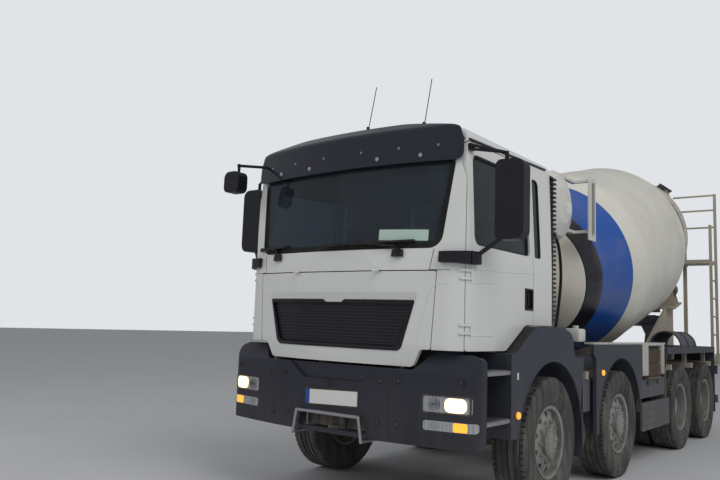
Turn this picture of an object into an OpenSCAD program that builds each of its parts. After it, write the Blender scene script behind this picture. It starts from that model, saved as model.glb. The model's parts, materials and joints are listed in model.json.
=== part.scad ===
// Four-axle concrete mixer truck with a short tilting cab and a drum that discharges at the rear.
// Millimetres. +X is forward, +Y is the truck's left side, +Z is up and the ground is Z = 0.
// Lengths along the truck are measured from the first axle, and place() then centres the whole truck.

/* [Chassis] */
// Distance from the first to the second axle
axle_gap_1 = 1795; // [1780:5:1830]
// Distance from the second to the third axle
axle_gap_2 = 2505; // [2500:5:2600]
// Distance from the third to the fourth axle
axle_gap_3 = 1400; // [1350:5:1450]
// Half of the width over the wheels and the bumper
body_half = 1245; // [1235:1:1255]
// Half of the width over the frame's rails
frame_half = 380; // [370:1:390]
// Height of the top of the frame's rails
frame_top = 1020; // [1010:5:1030]
// Height of a rail's section
rail_h = 270; // [250:5:280]
// Width of a rail's flanges
rail_flange = 80; // [70:1:90]
// Thickness of the rails' steel
rail_t = 9; // [7:1:12]
// Height of the mixer's own frame on top of the rails
subframe_h = 80; // [70:1:90]

/* [Wheels] */
// Outer radius of a tyre
tyre_r = 540; // [530:1:545]
// Width of a tyre
tyre_w = 315; // [300:1:320]
// Radius of a rim where the tyre sits
rim_r = 286; // [280:1:290]
// Distance between the middles of two twin tyres
twin_gap = 350; // [340:1:355]
// Radius of the wheel arches
arch_r = 677; // [665:1:685]
// Radius of a spindle
spindle_r = 45; // [35:1:55]

/* [Cab] */
// Half of the cab's width
cab_half = 1120; // [1100:1:1125]
// Length from the first axle to the cab's front
cab_front = 1460; // [1455:1:1465]
// Length from the first axle back to the cab's rear wall
cab_rear = 300; // [280:1:310]
// Highest point of the roof
cab_roof = 3110; // [3080:5:3140]
// Radius of the front in plan
front_r = 4500; // [4300:50:4800]
// How far the windscreen leans back over its height
screen_lean = 90; // [80:5:110]
// Radius of the cab's front corners in plan
corner_r = 200; // [180:5:220]
// Thickness of the cab's walls
cab_wall = 60; // [50:1:70]
// Thickness of a door
door_t = 70; // [60:1:75]
// Thickness of the front flap
flap_t = 35; // [30:1:40]
// Gap round the doors, the flap and the tilting cab
panel_gap = 8; // [6:1:10]
// Height of the cab's lower edge
cab_sill = 1300; // [1295:1:1310]
// Height of the flap's lower edge
flap_low = 1168; // [1165:1:1175]
// Thickness of the window glass
glass_t = 6; // [5:1:8]

/* [Bumper] */
// Length from the first axle to the bumper's front
bumper_front = 1470; // [1460:1:1475]
// Height of the bumper's lower edge
bumper_low = 605; // [590:5:620]
// Thickness of the bumper's shell
bumper_t = 45; // [35:1:55]

/* [Drum] */
// Tilt of the drum's axis
drum_tilt = 14; // [13:0.5:15]
// Radius of the drum's cylindrical middle
drum_r = 1190; // [1150:5:1195]
// Radius of the drum's mouth
mouth_r = 620; // [580:5:650]
// Thickness of the drum's steel
drum_t = 8; // [6:1:12]
// Outer radius of the ring that runs on the rollers
ring_r = 965; // [950:5:980]
// Radius of a support roller
roller_r = 120; // [110:1:130]
// Radius of the water tank
tank_r = 375; // [350:5:385]

/* [Chute] */
// Inner radius of the discharge chute's trough
trough_r = 190; // [180:1:195]
// Thickness of the trough's steel
trough_t = 8; // [6:1:10]
// Length of the main chute
chute_len = 1000; // [900:10:1020]

/* [Hidden] */
$fn = 96;

// Gap between pieces that sit on each other, and round a shaft that turns
seat = 0.3;
// Overlap that makes a cut pass right through
cut = 5;

// Foremost and rearmost points of the truck, which place() centres
front_reach = 1600;
chute_x = -7362;
fold_ear_out = 24;
rear_reach = chute_x - trough_r - trough_t - fold_ear_out;
shift_x = -(front_reach + rear_reach) / 2;

// Axle places, from the first axle
axle_x = [0, -axle_gap_1, -axle_gap_1 - axle_gap_2, -axle_gap_1 - axle_gap_2 - axle_gap_3];
single_y = body_half - tyre_w / 2;
twin_y = [body_half - tyre_w / 2, body_half - tyre_w / 2 - twin_gap];
// Side plates of the mudguards and panels
skin_y = [body_half - 35, body_half];
outrigger_half = skin_y[0];
kingpin_y = 930;
kingpin_r = 28;
rail_low = frame_top - rail_h;
frame_front = 1150;
frame_rear = -6950;
deck = frame_top + subframe_h;

slate = [0.2, 0.22, 0.28];
grey = [0.29, 0.32, 0.38];
white = [0.85, 0.86, 0.83];
black = [0.08, 0.08, 0.1];
steel = [0.6, 0.6, 0.6];
beige = [0.68, 0.64, 0.56];

// Moves a piece from the first axle's frame to the truck's own
module place() { translate([shift_x, 0, 0]) children(); }

// The same piece on both sides
module both_sides() {
    children();
    mirror([0, 1, 0]) children();
}

// A block between two corners, given as [from, to] along each axis
module block(x, y, z) { translate([x[0], y[0], z[0]]) cube([x[1] - x[0], y[1] - y[0], z[1] - z[0]]); }

// A side-view outline in X and Z, with its thickness along Y
module side_plate(points, y) {
    translate([0, y[1], 0]) rotate([90, 0, 0]) linear_extrude(y[1] - y[0]) polygon(points);
}

// A front-view outline in Y and Z, with its thickness along X
module front_plate(points, x) {
    translate([x[0], 0, 0]) rotate([90, 0, 90]) linear_extrude(x[1] - x[0]) polygon(points);
}

// A plan outline in X and Y, with its thickness along Z
module plan_plate(points, z) { translate([0, 0, z[0]]) linear_extrude(z[1] - z[0]) polygon(points); }

// A round bar along Y
module cross_bar(x, z, r, y) { translate([x, y[0], z]) rotate([-90, 0, 0]) cylinder(r = r, h = y[1] - y[0]); }

// A round bar along X
module long_bar(y, z, r, x) { translate([x[0], y, z]) rotate([0, 90, 0]) cylinder(r = r, h = x[1] - x[0]); }

// A round bar between any two points
module rod(a, b, r) {
    v = b - a;
    translate(a) rotate([0, acos(v.z / norm(v)), atan2(v.y, v.x)]) cylinder(r = r, h = norm(v));
}

function unit(v) = v / norm(v);
function wrapped(a) = a > 180 ? a - 360 : a < -180 ? a + 360 : a;
// Points of the arc that rounds corner p, between its neighbours a and b
function corner_arc(a, p, b, r, n) =
    let (u = unit(a - p), v = unit(b - p), half = acos(u * v) / 2)
    let (c = p + unit(u + v) * r / sin(half), t = r / tan(half))
    let (d0 = p + u * t - c, d1 = p + v * t - c, a0 = atan2(d0.y, d0.x))
    let (sweep = wrapped(atan2(d1.y, d1.x) - a0))
    [for (i = [0 : n]) c + r * [cos(a0 + sweep * i / n), sin(a0 + sweep * i / n)]];
// An outline from its corners, each given as [x, y, radius]
function rounded(corners, n = 6) =
    let (last = len(corners))
    [for (i = [0 : last - 1])
        let (q = corners[i], a = corners[(i + last - 1) % last], b = corners[(i + 1) % last])
        each q[2] > 0 ? corner_arc([a.x, a.y], [q.x, q.y], [b.x, b.y], q[2], n) : [[q.x, q.y]]];
function arc(cx, cy, r, from, to, n) =
    [for (i = [0 : n]) [cx + r * cos(from + (to - from) * i / n), cy + r * sin(from + (to - from) * i / n)]];

// FRAME: two C-section rails, cross members and the front beam that carries the bumper
front_beam_x = 1300;
cross_member_x = [920, -700, -2650, -3560, -5000, -6860];
module rail() {
    difference() {
        block([frame_rear, frame_front], [frame_half - rail_flange, frame_half], [rail_low, frame_top]);
        block([frame_rear - cut, frame_front + cut], [frame_half - rail_flange - cut, frame_half - rail_t],
            [rail_low + rail_t, frame_top - rail_t]);
    }
}
tow_z = 700;
tow_x = 1355;
tow_hole_r = 20;
beam_t = 60;
beam_z = [rail_low - 110, rail_low + 90];
web_in = frame_half - rail_t - seat;
module frame() {
    place() color(black) {
        both_sides() rail();
        // Cross members between the rails' webs
        for (x = cross_member_x)
            block([x - 45, x + 45], [-web_in, web_in], [rail_low + 60, frame_top - rail_t - seat]);
        // Front beam and the two arms that carry it
        block([front_beam_x - beam_t, front_beam_x], [-850, 850], beam_z);
        both_sides() block([frame_front + seat, front_beam_x - beam_t - seat], [frame_half - 100, frame_half],
            [beam_z[0], rail_low + 180]);
        cab_posts();
        both_sides() pivot_ears();
    }
}
// Posts that the cab rests on
module cab_posts() {
    both_sides() {
        block([front_beam_x - beam_t, front_beam_x - 35], [450, 520], [beam_z[1] + seat, cab_sill - seat]);
        block([-290, -220], [frame_half + seat, 470], [frame_top - 90, skirt_z - seat]);
    }
}
// Pivot of the tilting cab: a pin across two ears on the front beam, round which the cab's arm turns
pivot = [1345, 930];
pivot_r = 22;
ear_t = 24;
arm_y = [frame_half + 15, frame_half + 40];
module pivot_ears() {
    for (y = [arm_y[0] - ear_t - seat, arm_y[1] + seat])
        side_plate(rounded([[front_beam_x - 28, beam_z[1] + seat, 0], [front_beam_x, beam_z[1] + seat, 0],
            [pivot.x + 35, pivot.y - 20, 15], [pivot.x + 35, pivot.y + 35, 25], [front_beam_x - 28, pivot.y + 20, 25]]),
            [y, y + ear_t]);
    cross_bar(pivot.x, pivot.y, pivot_r, [arm_y[0] - ear_t, arm_y[1] + ear_t]);
}
module pivot_arm() {
    difference() {
        union() {
            side_plate(rounded([[pivot.x + 20, pivot.y - 30, 0], [pivot.x, pivot.y + 34, 0], [1110, pivot.y + 34, 30],
                [1110, cab_sill + 5, 0], [1040, cab_sill + 5, 0], [1040, pivot.y - 30, 40]]), arm_y);
            cross_bar(pivot.x, pivot.y, pivot_r + 14, arm_y);
        }
        cross_bar(pivot.x, pivot.y, pivot_r + seat, [arm_y[0] - cut, arm_y[1] + cut]);
    }
}

// TOWING FITTINGS: the front jaw with its upright pin hole, and the end plate for a coupling
plate_hole_y = 160;
plate_hole_z = 100;
plate_hole_r = 10.5;
plate_mid_z = 885;
module tow_jaw() {
    block([front_beam_x + seat, front_beam_x + 20], [-60, 60], [tow_z - 60, tow_z + 60]);
    for (z = [tow_z - 60, tow_z + 35])
        difference() {
            block([front_beam_x + 19, tow_x + 45], [-50, 50], [z, z + 25]);
            translate([tow_x, 0, z - cut]) cylinder(r = tow_hole_r, h = 25 + 2 * cut);
        }
}
module rear_plate() {
    difference() {
        block([frame_rear, frame_rear + 12], [-web_in, web_in], [rail_low + 30, frame_top - 20]);
        for (y = [-plate_hole_y / 2, plate_hole_y / 2], z = [-plate_hole_z / 2, plate_hole_z / 2])
            long_bar(y, plate_mid_z + z, plate_hole_r, [frame_rear - cut, frame_rear + 12 + cut]);
    }
}
module towing_fittings() {
    place() color(black) {
        tow_jaw();
        rear_plate();
    }
}

// MIXER SUBFRAME: long beams, outriggers, front pedestal with the tank stand, rear pedestal
drum_ref = [-2000, 0, 2060];
tank_x = -1200;
tank_z = 2775;
tank_len = 1760;
front_ped_x = [-1880, -1560];
roller_s = 4030;
roller_angle = 36;
outrigger_x = [-900, tank_x, -2560, -3640, -3900, -5000, -6150, -6830];
// Outriggers that also carry the rear mudguards
post_x = [-3900, -5000, -6150];
mudguard_z = 1300;
outrigger_z = [frame_top + 5, deck - 5];
// Inner faces of the long beams, with the seat's gap
beam_in = frame_half - 80 - seat;
// Frame of the drum: Z runs along its axis to the rear, X points up
module drum_axis() { translate(drum_ref) rotate([0, drum_tilt - 90, 0]) children(); }
// A point of the truck from its place in the drum's frame: along the axis, up and to the left
function axis_point(s, up, left) =
    drum_ref + s * [-cos(drum_tilt), 0, sin(drum_tilt)] + up * [sin(drum_tilt), 0, cos(drum_tilt)] + [0, left, 0];
roller_up = -(ring_r + roller_r + seat) * cos(roller_angle);
roller_left = (ring_r + roller_r + seat) * sin(roller_angle);
roller_seat_up = roller_up - 240;
drive_seat_z = 1660;
ped_y = [300, 330];
module front_pedestal() {
    // Side plates that narrow to the drive's seat
    both_sides() side_plate([[-1980, deck + seat], [-1080, deck + seat], [-1330, drive_seat_z], [-1790, drive_seat_z]],
        ped_y);
    block([-1790, -1330], [-ped_y[1], ped_y[1]], [drive_seat_z - 30, drive_seat_z]);
    // Tank stand with its two saddles
    difference() {
        both_sides() {
            block([tank_x - 40, tank_x + 40], [420, 500], [outrigger_z[1] + seat, tank_z - tank_r + 40]);
            side_plate([[tank_x - 260, tank_z - tank_r + 110], [tank_x - 260, tank_z - tank_r + 60],
                [tank_x - 60, tank_z - tank_r - 60], [tank_x + 60, tank_z - tank_r - 60],
                [tank_x + 260, tank_z - tank_r + 60], [tank_x + 260, tank_z - tank_r + 110]], [420, 500]);
        }
        cross_bar(tank_x, tank_z, tank_r + seat, [-600, 600]);
    }
    block([tank_x - 40, tank_x + 40], [-500, 500], [1600, 1660]);
}
function flat(p) = [p.x, p.z];
module rear_pedestal() {
    both_sides() {
        side_plate([[-4500, deck + 1], [-6400, deck + 1], flat(axis_point(roller_s + 220, roller_seat_up, 0)),
            flat(axis_point(roller_s - 220, roller_seat_up, 0))], [roller_left - 45, roller_left - 15]);
        // Sloping seat and the two cheeks that hold a roller's axle
        drum_axis() {
            block([roller_seat_up - 25, roller_seat_up], [roller_left - 160, roller_left + 120],
                [roller_s - 220, roller_s + 220]);
            for (s = [roller_s - roller_w / 2 - 25, roller_s + roller_w / 2 + 5])
                difference() {
                    plan_plate(rounded([[roller_seat_up - 1, roller_left - 130, 0], [roller_seat_up - 1,
                        roller_left + 110, 0], [roller_up + 60, roller_left + 50, 40],
                        [roller_up + 60, roller_left - 50, 40]]), [s, s + 20]);
                    translate([roller_up, roller_left, s - cut]) cylinder(r = roller_pin_r + seat, h = 20 + 2 * cut);
                }
        }
        block([-6500, -4300], [frame_half - 80, roller_left - 15], [deck + seat, deck + 14]);
    }
}
roller_w = 110;
roller_pin_r = 25;
// Bearing tube of the swinging chute, on two plates behind the frame
bearing_r = 70;
bearing_z = [1030, 1230];
module chute_bearing() {
    difference() {
        union() {
            translate([chute_x, 0, bearing_z[0]]) cylinder(r = bearing_r, h = bearing_z[1] - bearing_z[0]);
            plan_plate([[chute_x, -60], [frame_rear + 100, -290], [frame_rear + 100, 290], [chute_x, 60]],
                [bearing_z[0] + 10, bearing_z[0] + 50]);
        }
        translate([chute_x, 0, bearing_z[0] - cut])
            cylinder(r = pin_r + seat, h = bearing_z[1] - bearing_z[0] + 2 * cut);
    }
    block([frame_rear, frame_rear + 100], [-beam_in, beam_in], [bearing_z[0] + 10, deck]);
}
hopper_post_x = [-6860, -6800];
module hopper_posts() {
    both_sides() {
        block(hopper_post_x, [690, 740], [outrigger_z[1] + seat, 3330]);
        front_plate([[690, 3300], [740, 3300], [hopper_half(3945) + 30, 3945], [hopper_half(3945), 3945],
            [hopper_half(3885), 3885]], hopper_post_x);
    }
}
module mixer_subframe() {
    place() color(beige) {
        both_sides() block([frame_rear, -860], [frame_half - 80, frame_half], [frame_top, deck]);
        for (x = [-1500, -3000, -4500, -6000])
            block([x - 40, x + 40], [-beam_in, beam_in], [frame_top + 10, deck - 10]);
        both_sides() for (x = outrigger_x)
            block([x - 30, x + 30], [frame_half + seat, outrigger_half], outrigger_z);
        both_sides() for (x = post_x)
            block([x - 30, x + 30], [1080, 1130], [outrigger_z[1] + seat, mudguard_z - seat]);
        front_pedestal();
        rear_pedestal();
        chute_bearing();
        hopper_posts();
    }
}

// AXLES: two forged steering beams, two driven housings, leaf springs under the rails
spring_y = [frame_half - rail_flange, frame_half];
module steer_beam(x) {
    z = tyre_r;
    translate([x, 0, 0]) difference() {
        union() {
            front_plate([[-kingpin_y, z - 55], [-kingpin_y + 120, z - 60], [-560, z - 110], [560, z - 110],
            [kingpin_y - 120, z - 60], [kingpin_y, z - 55], [kingpin_y, z + 45], [kingpin_y - 120, z + 35],
            [560, z - 10], [-560, z - 10], [-kingpin_y + 120, z + 35], [-kingpin_y, z + 45]], [-45, 45]);
            both_sides() translate([0, kingpin_y, z - 60]) cylinder(r = 50, h = 110);
        }
        both_sides() translate([0, kingpin_y, z - 60 - cut]) cylinder(r = kingpin_r + seat, h = 110 + 2 * cut);
    }
}
module leaf_spring(x, reach, low, mid) {
    // A stack of leaves, longest on top
    for (i = [0 : 3]) {
        top = mid + 4 * leaf_t - i * leaf_t;
        half = reach * (1 - 0.2 * i);
        both_sides() side_plate(concat(spring_arc(x, half, reach, low, top),
            reversed(spring_arc(x, half, reach, low, top - leaf_t - 1))), spring_y);
    }
}
leaf_t = 16;
function reversed(list) = [for (i = [len(list) - 1 : -1 : 0]) list[i]];
// A leaf curves up from its middle to its ends
function spring_arc(x, half, reach, rise, z) =
    [for (i = [-5 : 5]) [x + half * i / 5, z + rise * pow(half * i / 5 / reach, 2)]];
module driven_axle(x) {
    translate([x, 0, tyre_r]) {
        rotate([90, 0, 0]) cylinder(r = 95, h = 2 * 560, center = true);
        sphere(r = 210);
        both_sides() translate([0, 550, 0]) rotate([-90, 0, 0])
            cylinder(r = spindle_r, h = twin_y[0] - 550);
    }
}
module axles() {
    place() color(black) {
        for (x = [axle_x[0], axle_x[1]]) {
            steer_beam(x);
            // Seat, leaves and hangers
            both_sides() {
                block([x - 60, x + 60], spring_y, [tyre_r - 15, tyre_r + 20]);
                for (e = [-1, 1])
                    block([x + e * 560 - 35, x + e * 560 + 35], spring_y, [tyre_r + 84, rail_low]);
            }
            leaf_spring(x, 600, 60, tyre_r + 20);
        }
        for (x = [axle_x[2], axle_x[3]]) driven_axle(x);
        bogie_x = (axle_x[2] + axle_x[3]) / 2;
        both_sides() {
            block([bogie_x - 90, bogie_x + 90], spring_y, [tyre_r + 100, rail_low]);
            for (x = [axle_x[2], axle_x[3]])
                block([x - 60, x + 60], spring_y, [tyre_r + 60, tyre_r + 140]);
        }
        both_sides() side_plate([[axle_x[2] + 80, tyre_r + 100], [bogie_x + 100, tyre_r + 160],
            [bogie_x - 100, tyre_r + 160], [axle_x[3] - 80, tyre_r + 100], [axle_x[3] - 80, tyre_r + 140],
            [bogie_x - 100, tyre_r + 205], [bogie_x + 100, tyre_r + 205], [axle_x[2] + 80, tyre_r + 140]], spring_y);
    }
}

// ENGINE: one plain block on four feet that stand on the rails
module engine() {
    place() color(steel) {
        block([-450, 850], [-270, 270], [tyre_r + 100, 1480]);
        for (x = [-250, 700])
            block([x - 50, x + 50], [-frame_half + 10, frame_half - 10], [frame_top, frame_top + 30]);
    }
}

// KNUCKLES: a yoke round the beam's end, with the spindle that the wheel turns on
knuckle_in = 70;
module knuckle(i, side) {
    place() color(black) translate([axle_x[i], 0, tyre_r]) mirror([0, side, 0]) {
        for (z = [-100, 55])
            translate([0, kingpin_y, z]) cylinder(r = 55, h = 38);
        translate([0, kingpin_y, -65]) cylinder(r = kingpin_r, h = 125);
        block([-50, 50], [kingpin_y + 52, kingpin_y + 95], [-100, 93]);
        for (z = [-100, 55])
            block([-50, 50], [kingpin_y, kingpin_y + 95], [z, z + 38]);
        translate([0, kingpin_y + 90, 0]) rotate([-90, 0, 0])
            cylinder(r = spindle_r, h = single_y + single_disc - kingpin_y - 90);
        // Track-rod arm
        block([-230, -40], [kingpin_y - 30, kingpin_y + 10], [-100, -70]);
    }
}

// WHEELS: a tyre, a pressed steel rim and its hub with the brake drum
rim_t = 10;
// Tyre section as [radius, share of half the width]
tyre_section = [[1, 0.78], [0.968, 0.93], [0.80, 1], [0.62, 0.9], [0, 0.72]];
function tyre_point(p) = [rim_r + seat + (tyre_r - rim_r - seat) * (p[0] == 0 ? 0 : p[0]), p[1] * tyre_w / 2];
module tyre(y) {
    outer = [for (p = tyre_section) tyre_point([p[0] == 0 ? 0 : (p[0] * tyre_r - rim_r) / (tyre_r - rim_r), p[1]])];
    inner = [for (p = reversed(tyre_section))
        tyre_point([p[0] == 0 ? 0 : (p[0] * tyre_r - rim_r) / (tyre_r - rim_r), -p[1]])];
    color(black) translate([0, y, 0]) rotate([-90, 0, 0]) rotate_extrude($fn = 64) polygon(concat(outer, inner));
}
// disc_y is where the rim's disc meets the hub, measured from the rim's middle, outward or turned inward
module rim(y, disc_y, dish, inward = 0) {
    color(steel) translate([0, y, 0]) mirror([0, inward, 0]) rotate([-90, 0, 0]) difference() {
        rotate_extrude() {
            w = tyre_w * 0.36;
            polygon([[rim_r - rim_t, -w], [rim_r, -w], [rim_r, w], [rim_r - rim_t, w]]);
            // Flanges
            polygon([[rim_r - rim_t, w - 1], [rim_r + 1, w - 1], [rim_r + 1, w + 2], [rim_r + 16, w + 8],
                [rim_r + 16, w + 16], [rim_r - rim_t, w + 8]]);
            polygon([[rim_r - rim_t, 1 - w], [rim_r + 1, 1 - w], [rim_r + 1, -w - 2], [rim_r + 16, -w - 8],
                [rim_r + 16, -w - 16], [rim_r - rim_t, -w - 8]]);
            // Disc
            polygon([[hub_r - 10, disc_y - 12], [hub_r + 60, disc_y - 12], [rim_r - rim_t + 1, disc_y - dish - 30],
                [rim_r - rim_t + 1, disc_y - dish], [hub_r + 62, disc_y], [hub_r - 10, disc_y]]);
        }
        for (a = [18 : 36 : 359])
            rotate([0, 0, a]) translate([hand_hole_at, 0, disc_y - dish - 60]) cylinder(r = 27, h = dish + 120);
    }
}
hub_r = 130;
hand_hole_at = 228;
module hub(y_in, y_out) {
    color(steel) rotate([-90, 0, 0]) difference() {
        union() {
            translate([0, 0, y_in]) cylinder(r = hub_r - 9, h = y_out - y_in);
            translate([0, 0, y_in + 12]) cylinder(r = 205, h = 90);
        }
        translate([0, 0, y_in - cut]) cylinder(r = spindle_r + seat, h = y_out - y_in - 30 + cut);
    }
}
single_disc = 108;
twin_disc = twin_gap / 2 - 7;
module wheel(i, side) {
    place() translate([axle_x[i], 0, tyre_r]) mirror([0, side, 0]) {
        tyre(single_y);
        rim(single_y, single_disc, 30);
        hub(kingpin_y + 105, single_y + single_disc + 35);
    }
}
module twin_wheel(i, side) {
    place() translate([axle_x[i], 0, tyre_r]) mirror([0, side, 0]) {
        for (y = twin_y) tyre(y);
        rim(twin_y[0], twin_disc, 70, 1);
        rim(twin_y[1], twin_disc, 70);
        hub(twin_y[1] - 140, twin_y[0] + 60);
    }
}

// CAB: one outer form, cut into shell, doors, flap and glass
cab_axis_x = cab_front - front_r;
cab_top_front = 2960;
// Side profile of the cab as [length from the first axle, height, corner radius]
function cab_profile(d) = rounded([[-900, flap_low - 1, 0], [cab_front - 25 - d, flap_low - 1, 0],
    [cab_front - d, 1330, 200], [cab_front - d, 1900, 300], [cab_front - screen_lean - d, cab_top_front - d, 60],
    [cab_front - 280 - d, cab_roof - d, 120], [100, cab_roof - 10 - d, 300], [-cab_rear - 10, cab_roof - 60 - d, 0],
    [-900, cab_roof - 60 - d, 0]]);
corner_x = cab_axis_x + sqrt(pow(front_r - corner_r, 2) - pow(cab_half - corner_r, 2));
corner_turn = asin((cab_half - corner_r) / (front_r - corner_r));
// Plan of the cab: square rear, round front corners that run into the curved front
function cab_plan_half(d) = concat([[-cab_rear + d, cab_half - d - 40], [-cab_rear + d + 40, cab_half - d]],
    arc(corner_x, cab_half - corner_r, corner_r - d, 90, corner_turn, 7),
    [[corner_x + (corner_r - d) * cos(corner_turn) + 400 * sin(corner_turn),
        cab_half - corner_r + (corner_r - d) * sin(corner_turn) - 400 * cos(corner_turn)]]);
function mirrored(list) = [for (p = reversed(list)) [p.x, -p.y]];
function cab_plan(d) = concat(cab_plan_half(d), mirrored(cab_plan_half(d)));
// Front outline of the cab in Y and Z: upright sides that lean in above the waist, crowned roof
function cab_section_half(d) = rounded([[0, flap_low - 1, 0], [cab_half - d, flap_low - 1, 0],
    [cab_half - d, 2000, 300], [cab_half - 50 - d, cab_roof - 130 - d, 90], [560, cab_roof - 25 - d, 400],
    [0, cab_roof - d, 0]]);
module cab_form(d) {
    intersection() {
        translate([cab_axis_x, 0, 0]) rotate([0, 0, -50]) rotate_extrude(angle = 100, $fn = 240)
            polygon([for (p = cab_profile(d)) [p.x - cab_axis_x, p.y]]);
        plan_plate(cab_plan(d), [1000, 3300]);
        union() {
            front_plate(cab_section_half(d), [-1000, 2000]);
            mirror([0, 1, 0]) front_plate(cab_section_half(d), [-1000, 2000]);
        }
    }
}
door_front = 1258;
door_rear = 136;
door_top = 2875;
skirt_x = [645, 280];
skirt_z = 1512;
bulkhead_x = 1290;
tunnel_top = 1640;
floor_t = 50;
// Outline of a door, grown by g
function door_outline(g) = rounded(concat([[door_rear - g, door_top + g, 60], [door_rear - g, skirt_z - g, 20]],
    [[skirt_x[1] - g / 2, skirt_z - g, 120], [skirt_x[0] - g / 2, cab_sill - g, 120]],
    [[door_front + g, cab_sill - g, 20], [door_front + g, door_top + g, 60]]));
function door_window(g) = rounded([[190 - g, 2790 + g, 45], [190 - g, 2090 - g, 40], [1172 + g, 2090 - g, 70],
    [1165 + g, 2790 + g, 70]]);
function quarter_window(g) = rounded([[-30 - g, 2790 + g, 60], [-30 - g, 2090 - g, 30], [100 + g, 2090 - g, 20],
    [100 + g, 2790 + g, 20]]);
function windscreen(g) = rounded([[-930 - g, 2052 - g, 110], [930 + g, 2052 - g, 110], [1010 + g, 2770 + g, 40],
    [-1010 - g, 2770 + g, 40]]);
function rear_window(g) = rounded([[-450 - g, 2250 - g, 60], [450 + g, 2250 - g, 60], [450 + g, 2700 + g, 60],
    [-450 - g, 2700 + g, 60]]);
// Outline of the front flap in Y and Z, grown by g
flap_top = 1880;
function flap_outline(g) = rounded([[-905 - g, flap_top + g, 12], [-870 - g, cab_sill - g, 20],
    [-790 - g, cab_sill - g, 30], [-725 - g, flap_low - g, 40], [725 + g, flap_low - g, 40],
    [790 + g, cab_sill - g, 30], [870 + g, cab_sill - g, 20], [905 + g, flap_top + g, 12]]);
// Hinges along the flap's upper edge
flap_hinge = [1466, 1884];
flap_hinge_y = [400, 430];
flap_hinge_r = 7;
flap_pin_r = 3.5;
module flap_lugs() {
    both_sides() {
        for (y = [flap_hinge_y[0] - 14 - seat, flap_hinge_y[1] + seat]) {
            cross_bar(flap_hinge.x, flap_hinge.y, flap_hinge_r, [y, y + 14]);
            block([1400, flap_hinge.x], [y, y + 14], [flap_hinge.y + 4, flap_hinge.y + 11]);
        }
        cross_bar(flap_hinge.x, flap_hinge.y, flap_pin_r, [flap_hinge_y[0] - 5, flap_hinge_y[1] + 5]);
    }
}
module flap_knuckles() {
    both_sides() difference() {
        union() {
            cross_bar(flap_hinge.x, flap_hinge.y, flap_hinge_r, flap_hinge_y);
            block([1415, flap_hinge.x], flap_hinge_y, [flap_hinge.y - 13, flap_hinge.y - 4]);
        }
        cross_bar(flap_hinge.x, flap_hinge.y, flap_pin_r + seat, [flap_hinge_y[0] - cut, flap_hinge_y[1] + cut]);
    }
}
module cab_shell() {
    place() color(white) {
        shell();
        both_sides() {
            door_lugs();
            pivot_arm();
        }
        flap_lugs();
    }
}
module shell() {
    difference() {
        cab_form(0);
        // Room inside, above the floor and behind the front bulkhead
        intersection() {
            cab_form(cab_wall);
            union() {
                block([-cab_rear + cab_wall, bulkhead_x - 60], [420, 1200], [cab_sill + floor_t, 3200]);
                mirror([0, 1, 0]) block([-cab_rear + cab_wall, bulkhead_x - 60], [420, 1200],
                    [cab_sill + floor_t, 3200]);
                block([-cab_rear + cab_wall, bulkhead_x - 60], [-421, 421], [tunnel_top, 3200]);
                block([bulkhead_x - 61, 2000], [-1200, 1200], [2010, 3200]);
            }
            side_plate([[-cab_rear + cab_wall, skirt_z + floor_t], [skirt_x[1] + 60, skirt_z + floor_t],
                [skirt_x[0] + 60, cab_sill + floor_t], [2000, cab_sill + floor_t], [2000, 3200],
                [-cab_rear + cab_wall, 3200]], [-1200, 1200]);
        }
        // Below the sill, the tunnel over the engine and the steps over the mudguards
        block([-1000, 2000], [-1300, 1300], [1000, cab_sill]);
        block([-1000, bulkhead_x - 100], [-380, 380], [1000, tunnel_top - floor_t]);
        side_plate(concat([[-1000, 1000]], [[-1000, skirt_z]], [[skirt_x[1], skirt_z]], [[skirt_x[0], cab_sill]],
            [[skirt_x[0], 1000]]), [-1300, 1300]);
        // Doors
        both_sides() side_plate(door_outline(panel_gap), [cab_half - 200, cab_half + 60]);
        // Pocket behind the front flap
        intersection() {
            front_plate(flap_outline(panel_gap), [bulkhead_x, 2000]);
            cab_form(-cut);
        }
        // Windows
        both_sides() side_plate(quarter_window(0), [cab_half - 250, cab_half + 60]);
        front_plate(windscreen(0), [door_front + panel_gap, 2000]);
        front_plate(rear_window(0), [-cab_rear - 50, -cab_rear + cab_wall + cut]);
    }
}
module glass_layer(depth) {
    difference() {
        cab_form(depth);
        cab_form(depth + glass_t);
    }
}
module cab_glass() {
    place() color([0.3, 0.4, 0.38, 0.5]) {
        intersection() {
            glass_layer(12);
            union() {
                front_plate(windscreen(-seat), [door_front + panel_gap + seat, 2000]);
                both_sides() side_plate(quarter_window(-seat), [cab_half - 200, cab_half + 60]);
            }
        }
        front_plate(rear_window(-seat), [-cab_rear + 20, -cab_rear + 20 + glass_t]);
    }
}
visor_t = 38;
visor_outline = rounded([[-1075, 2722, 70], [1075, 2722, 70], [1075, 3070, 170], [-1075, 3070, 170]]);
module sun_visor() {
    place() color(slate) intersection() {
        difference() {
            cab_form(-visor_t);
            cab_form(-seat);
        }
        front_plate(visor_outline, [door_front + panel_gap + 20, 1700]);
    }
}
column_tilt = 62;
module dashboard() {
    place() color(black) {
        side_plate(rounded([[bulkhead_x - 60 - seat, 2000, 0], [1150, 2010, 60], [930, 1960, 60],
            [860, 1790, 60], [1050, 1690, 40], [bulkhead_x - 60 - seat, 1650, 0]]), [-950, 950]);
        // Steering column
        translate(wheel_c) rotate([0, -column_tilt, 0]) translate([0, 0, -330])
            cylinder(r = 38, h = 330 - 30 - seat);
    }
}
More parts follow.
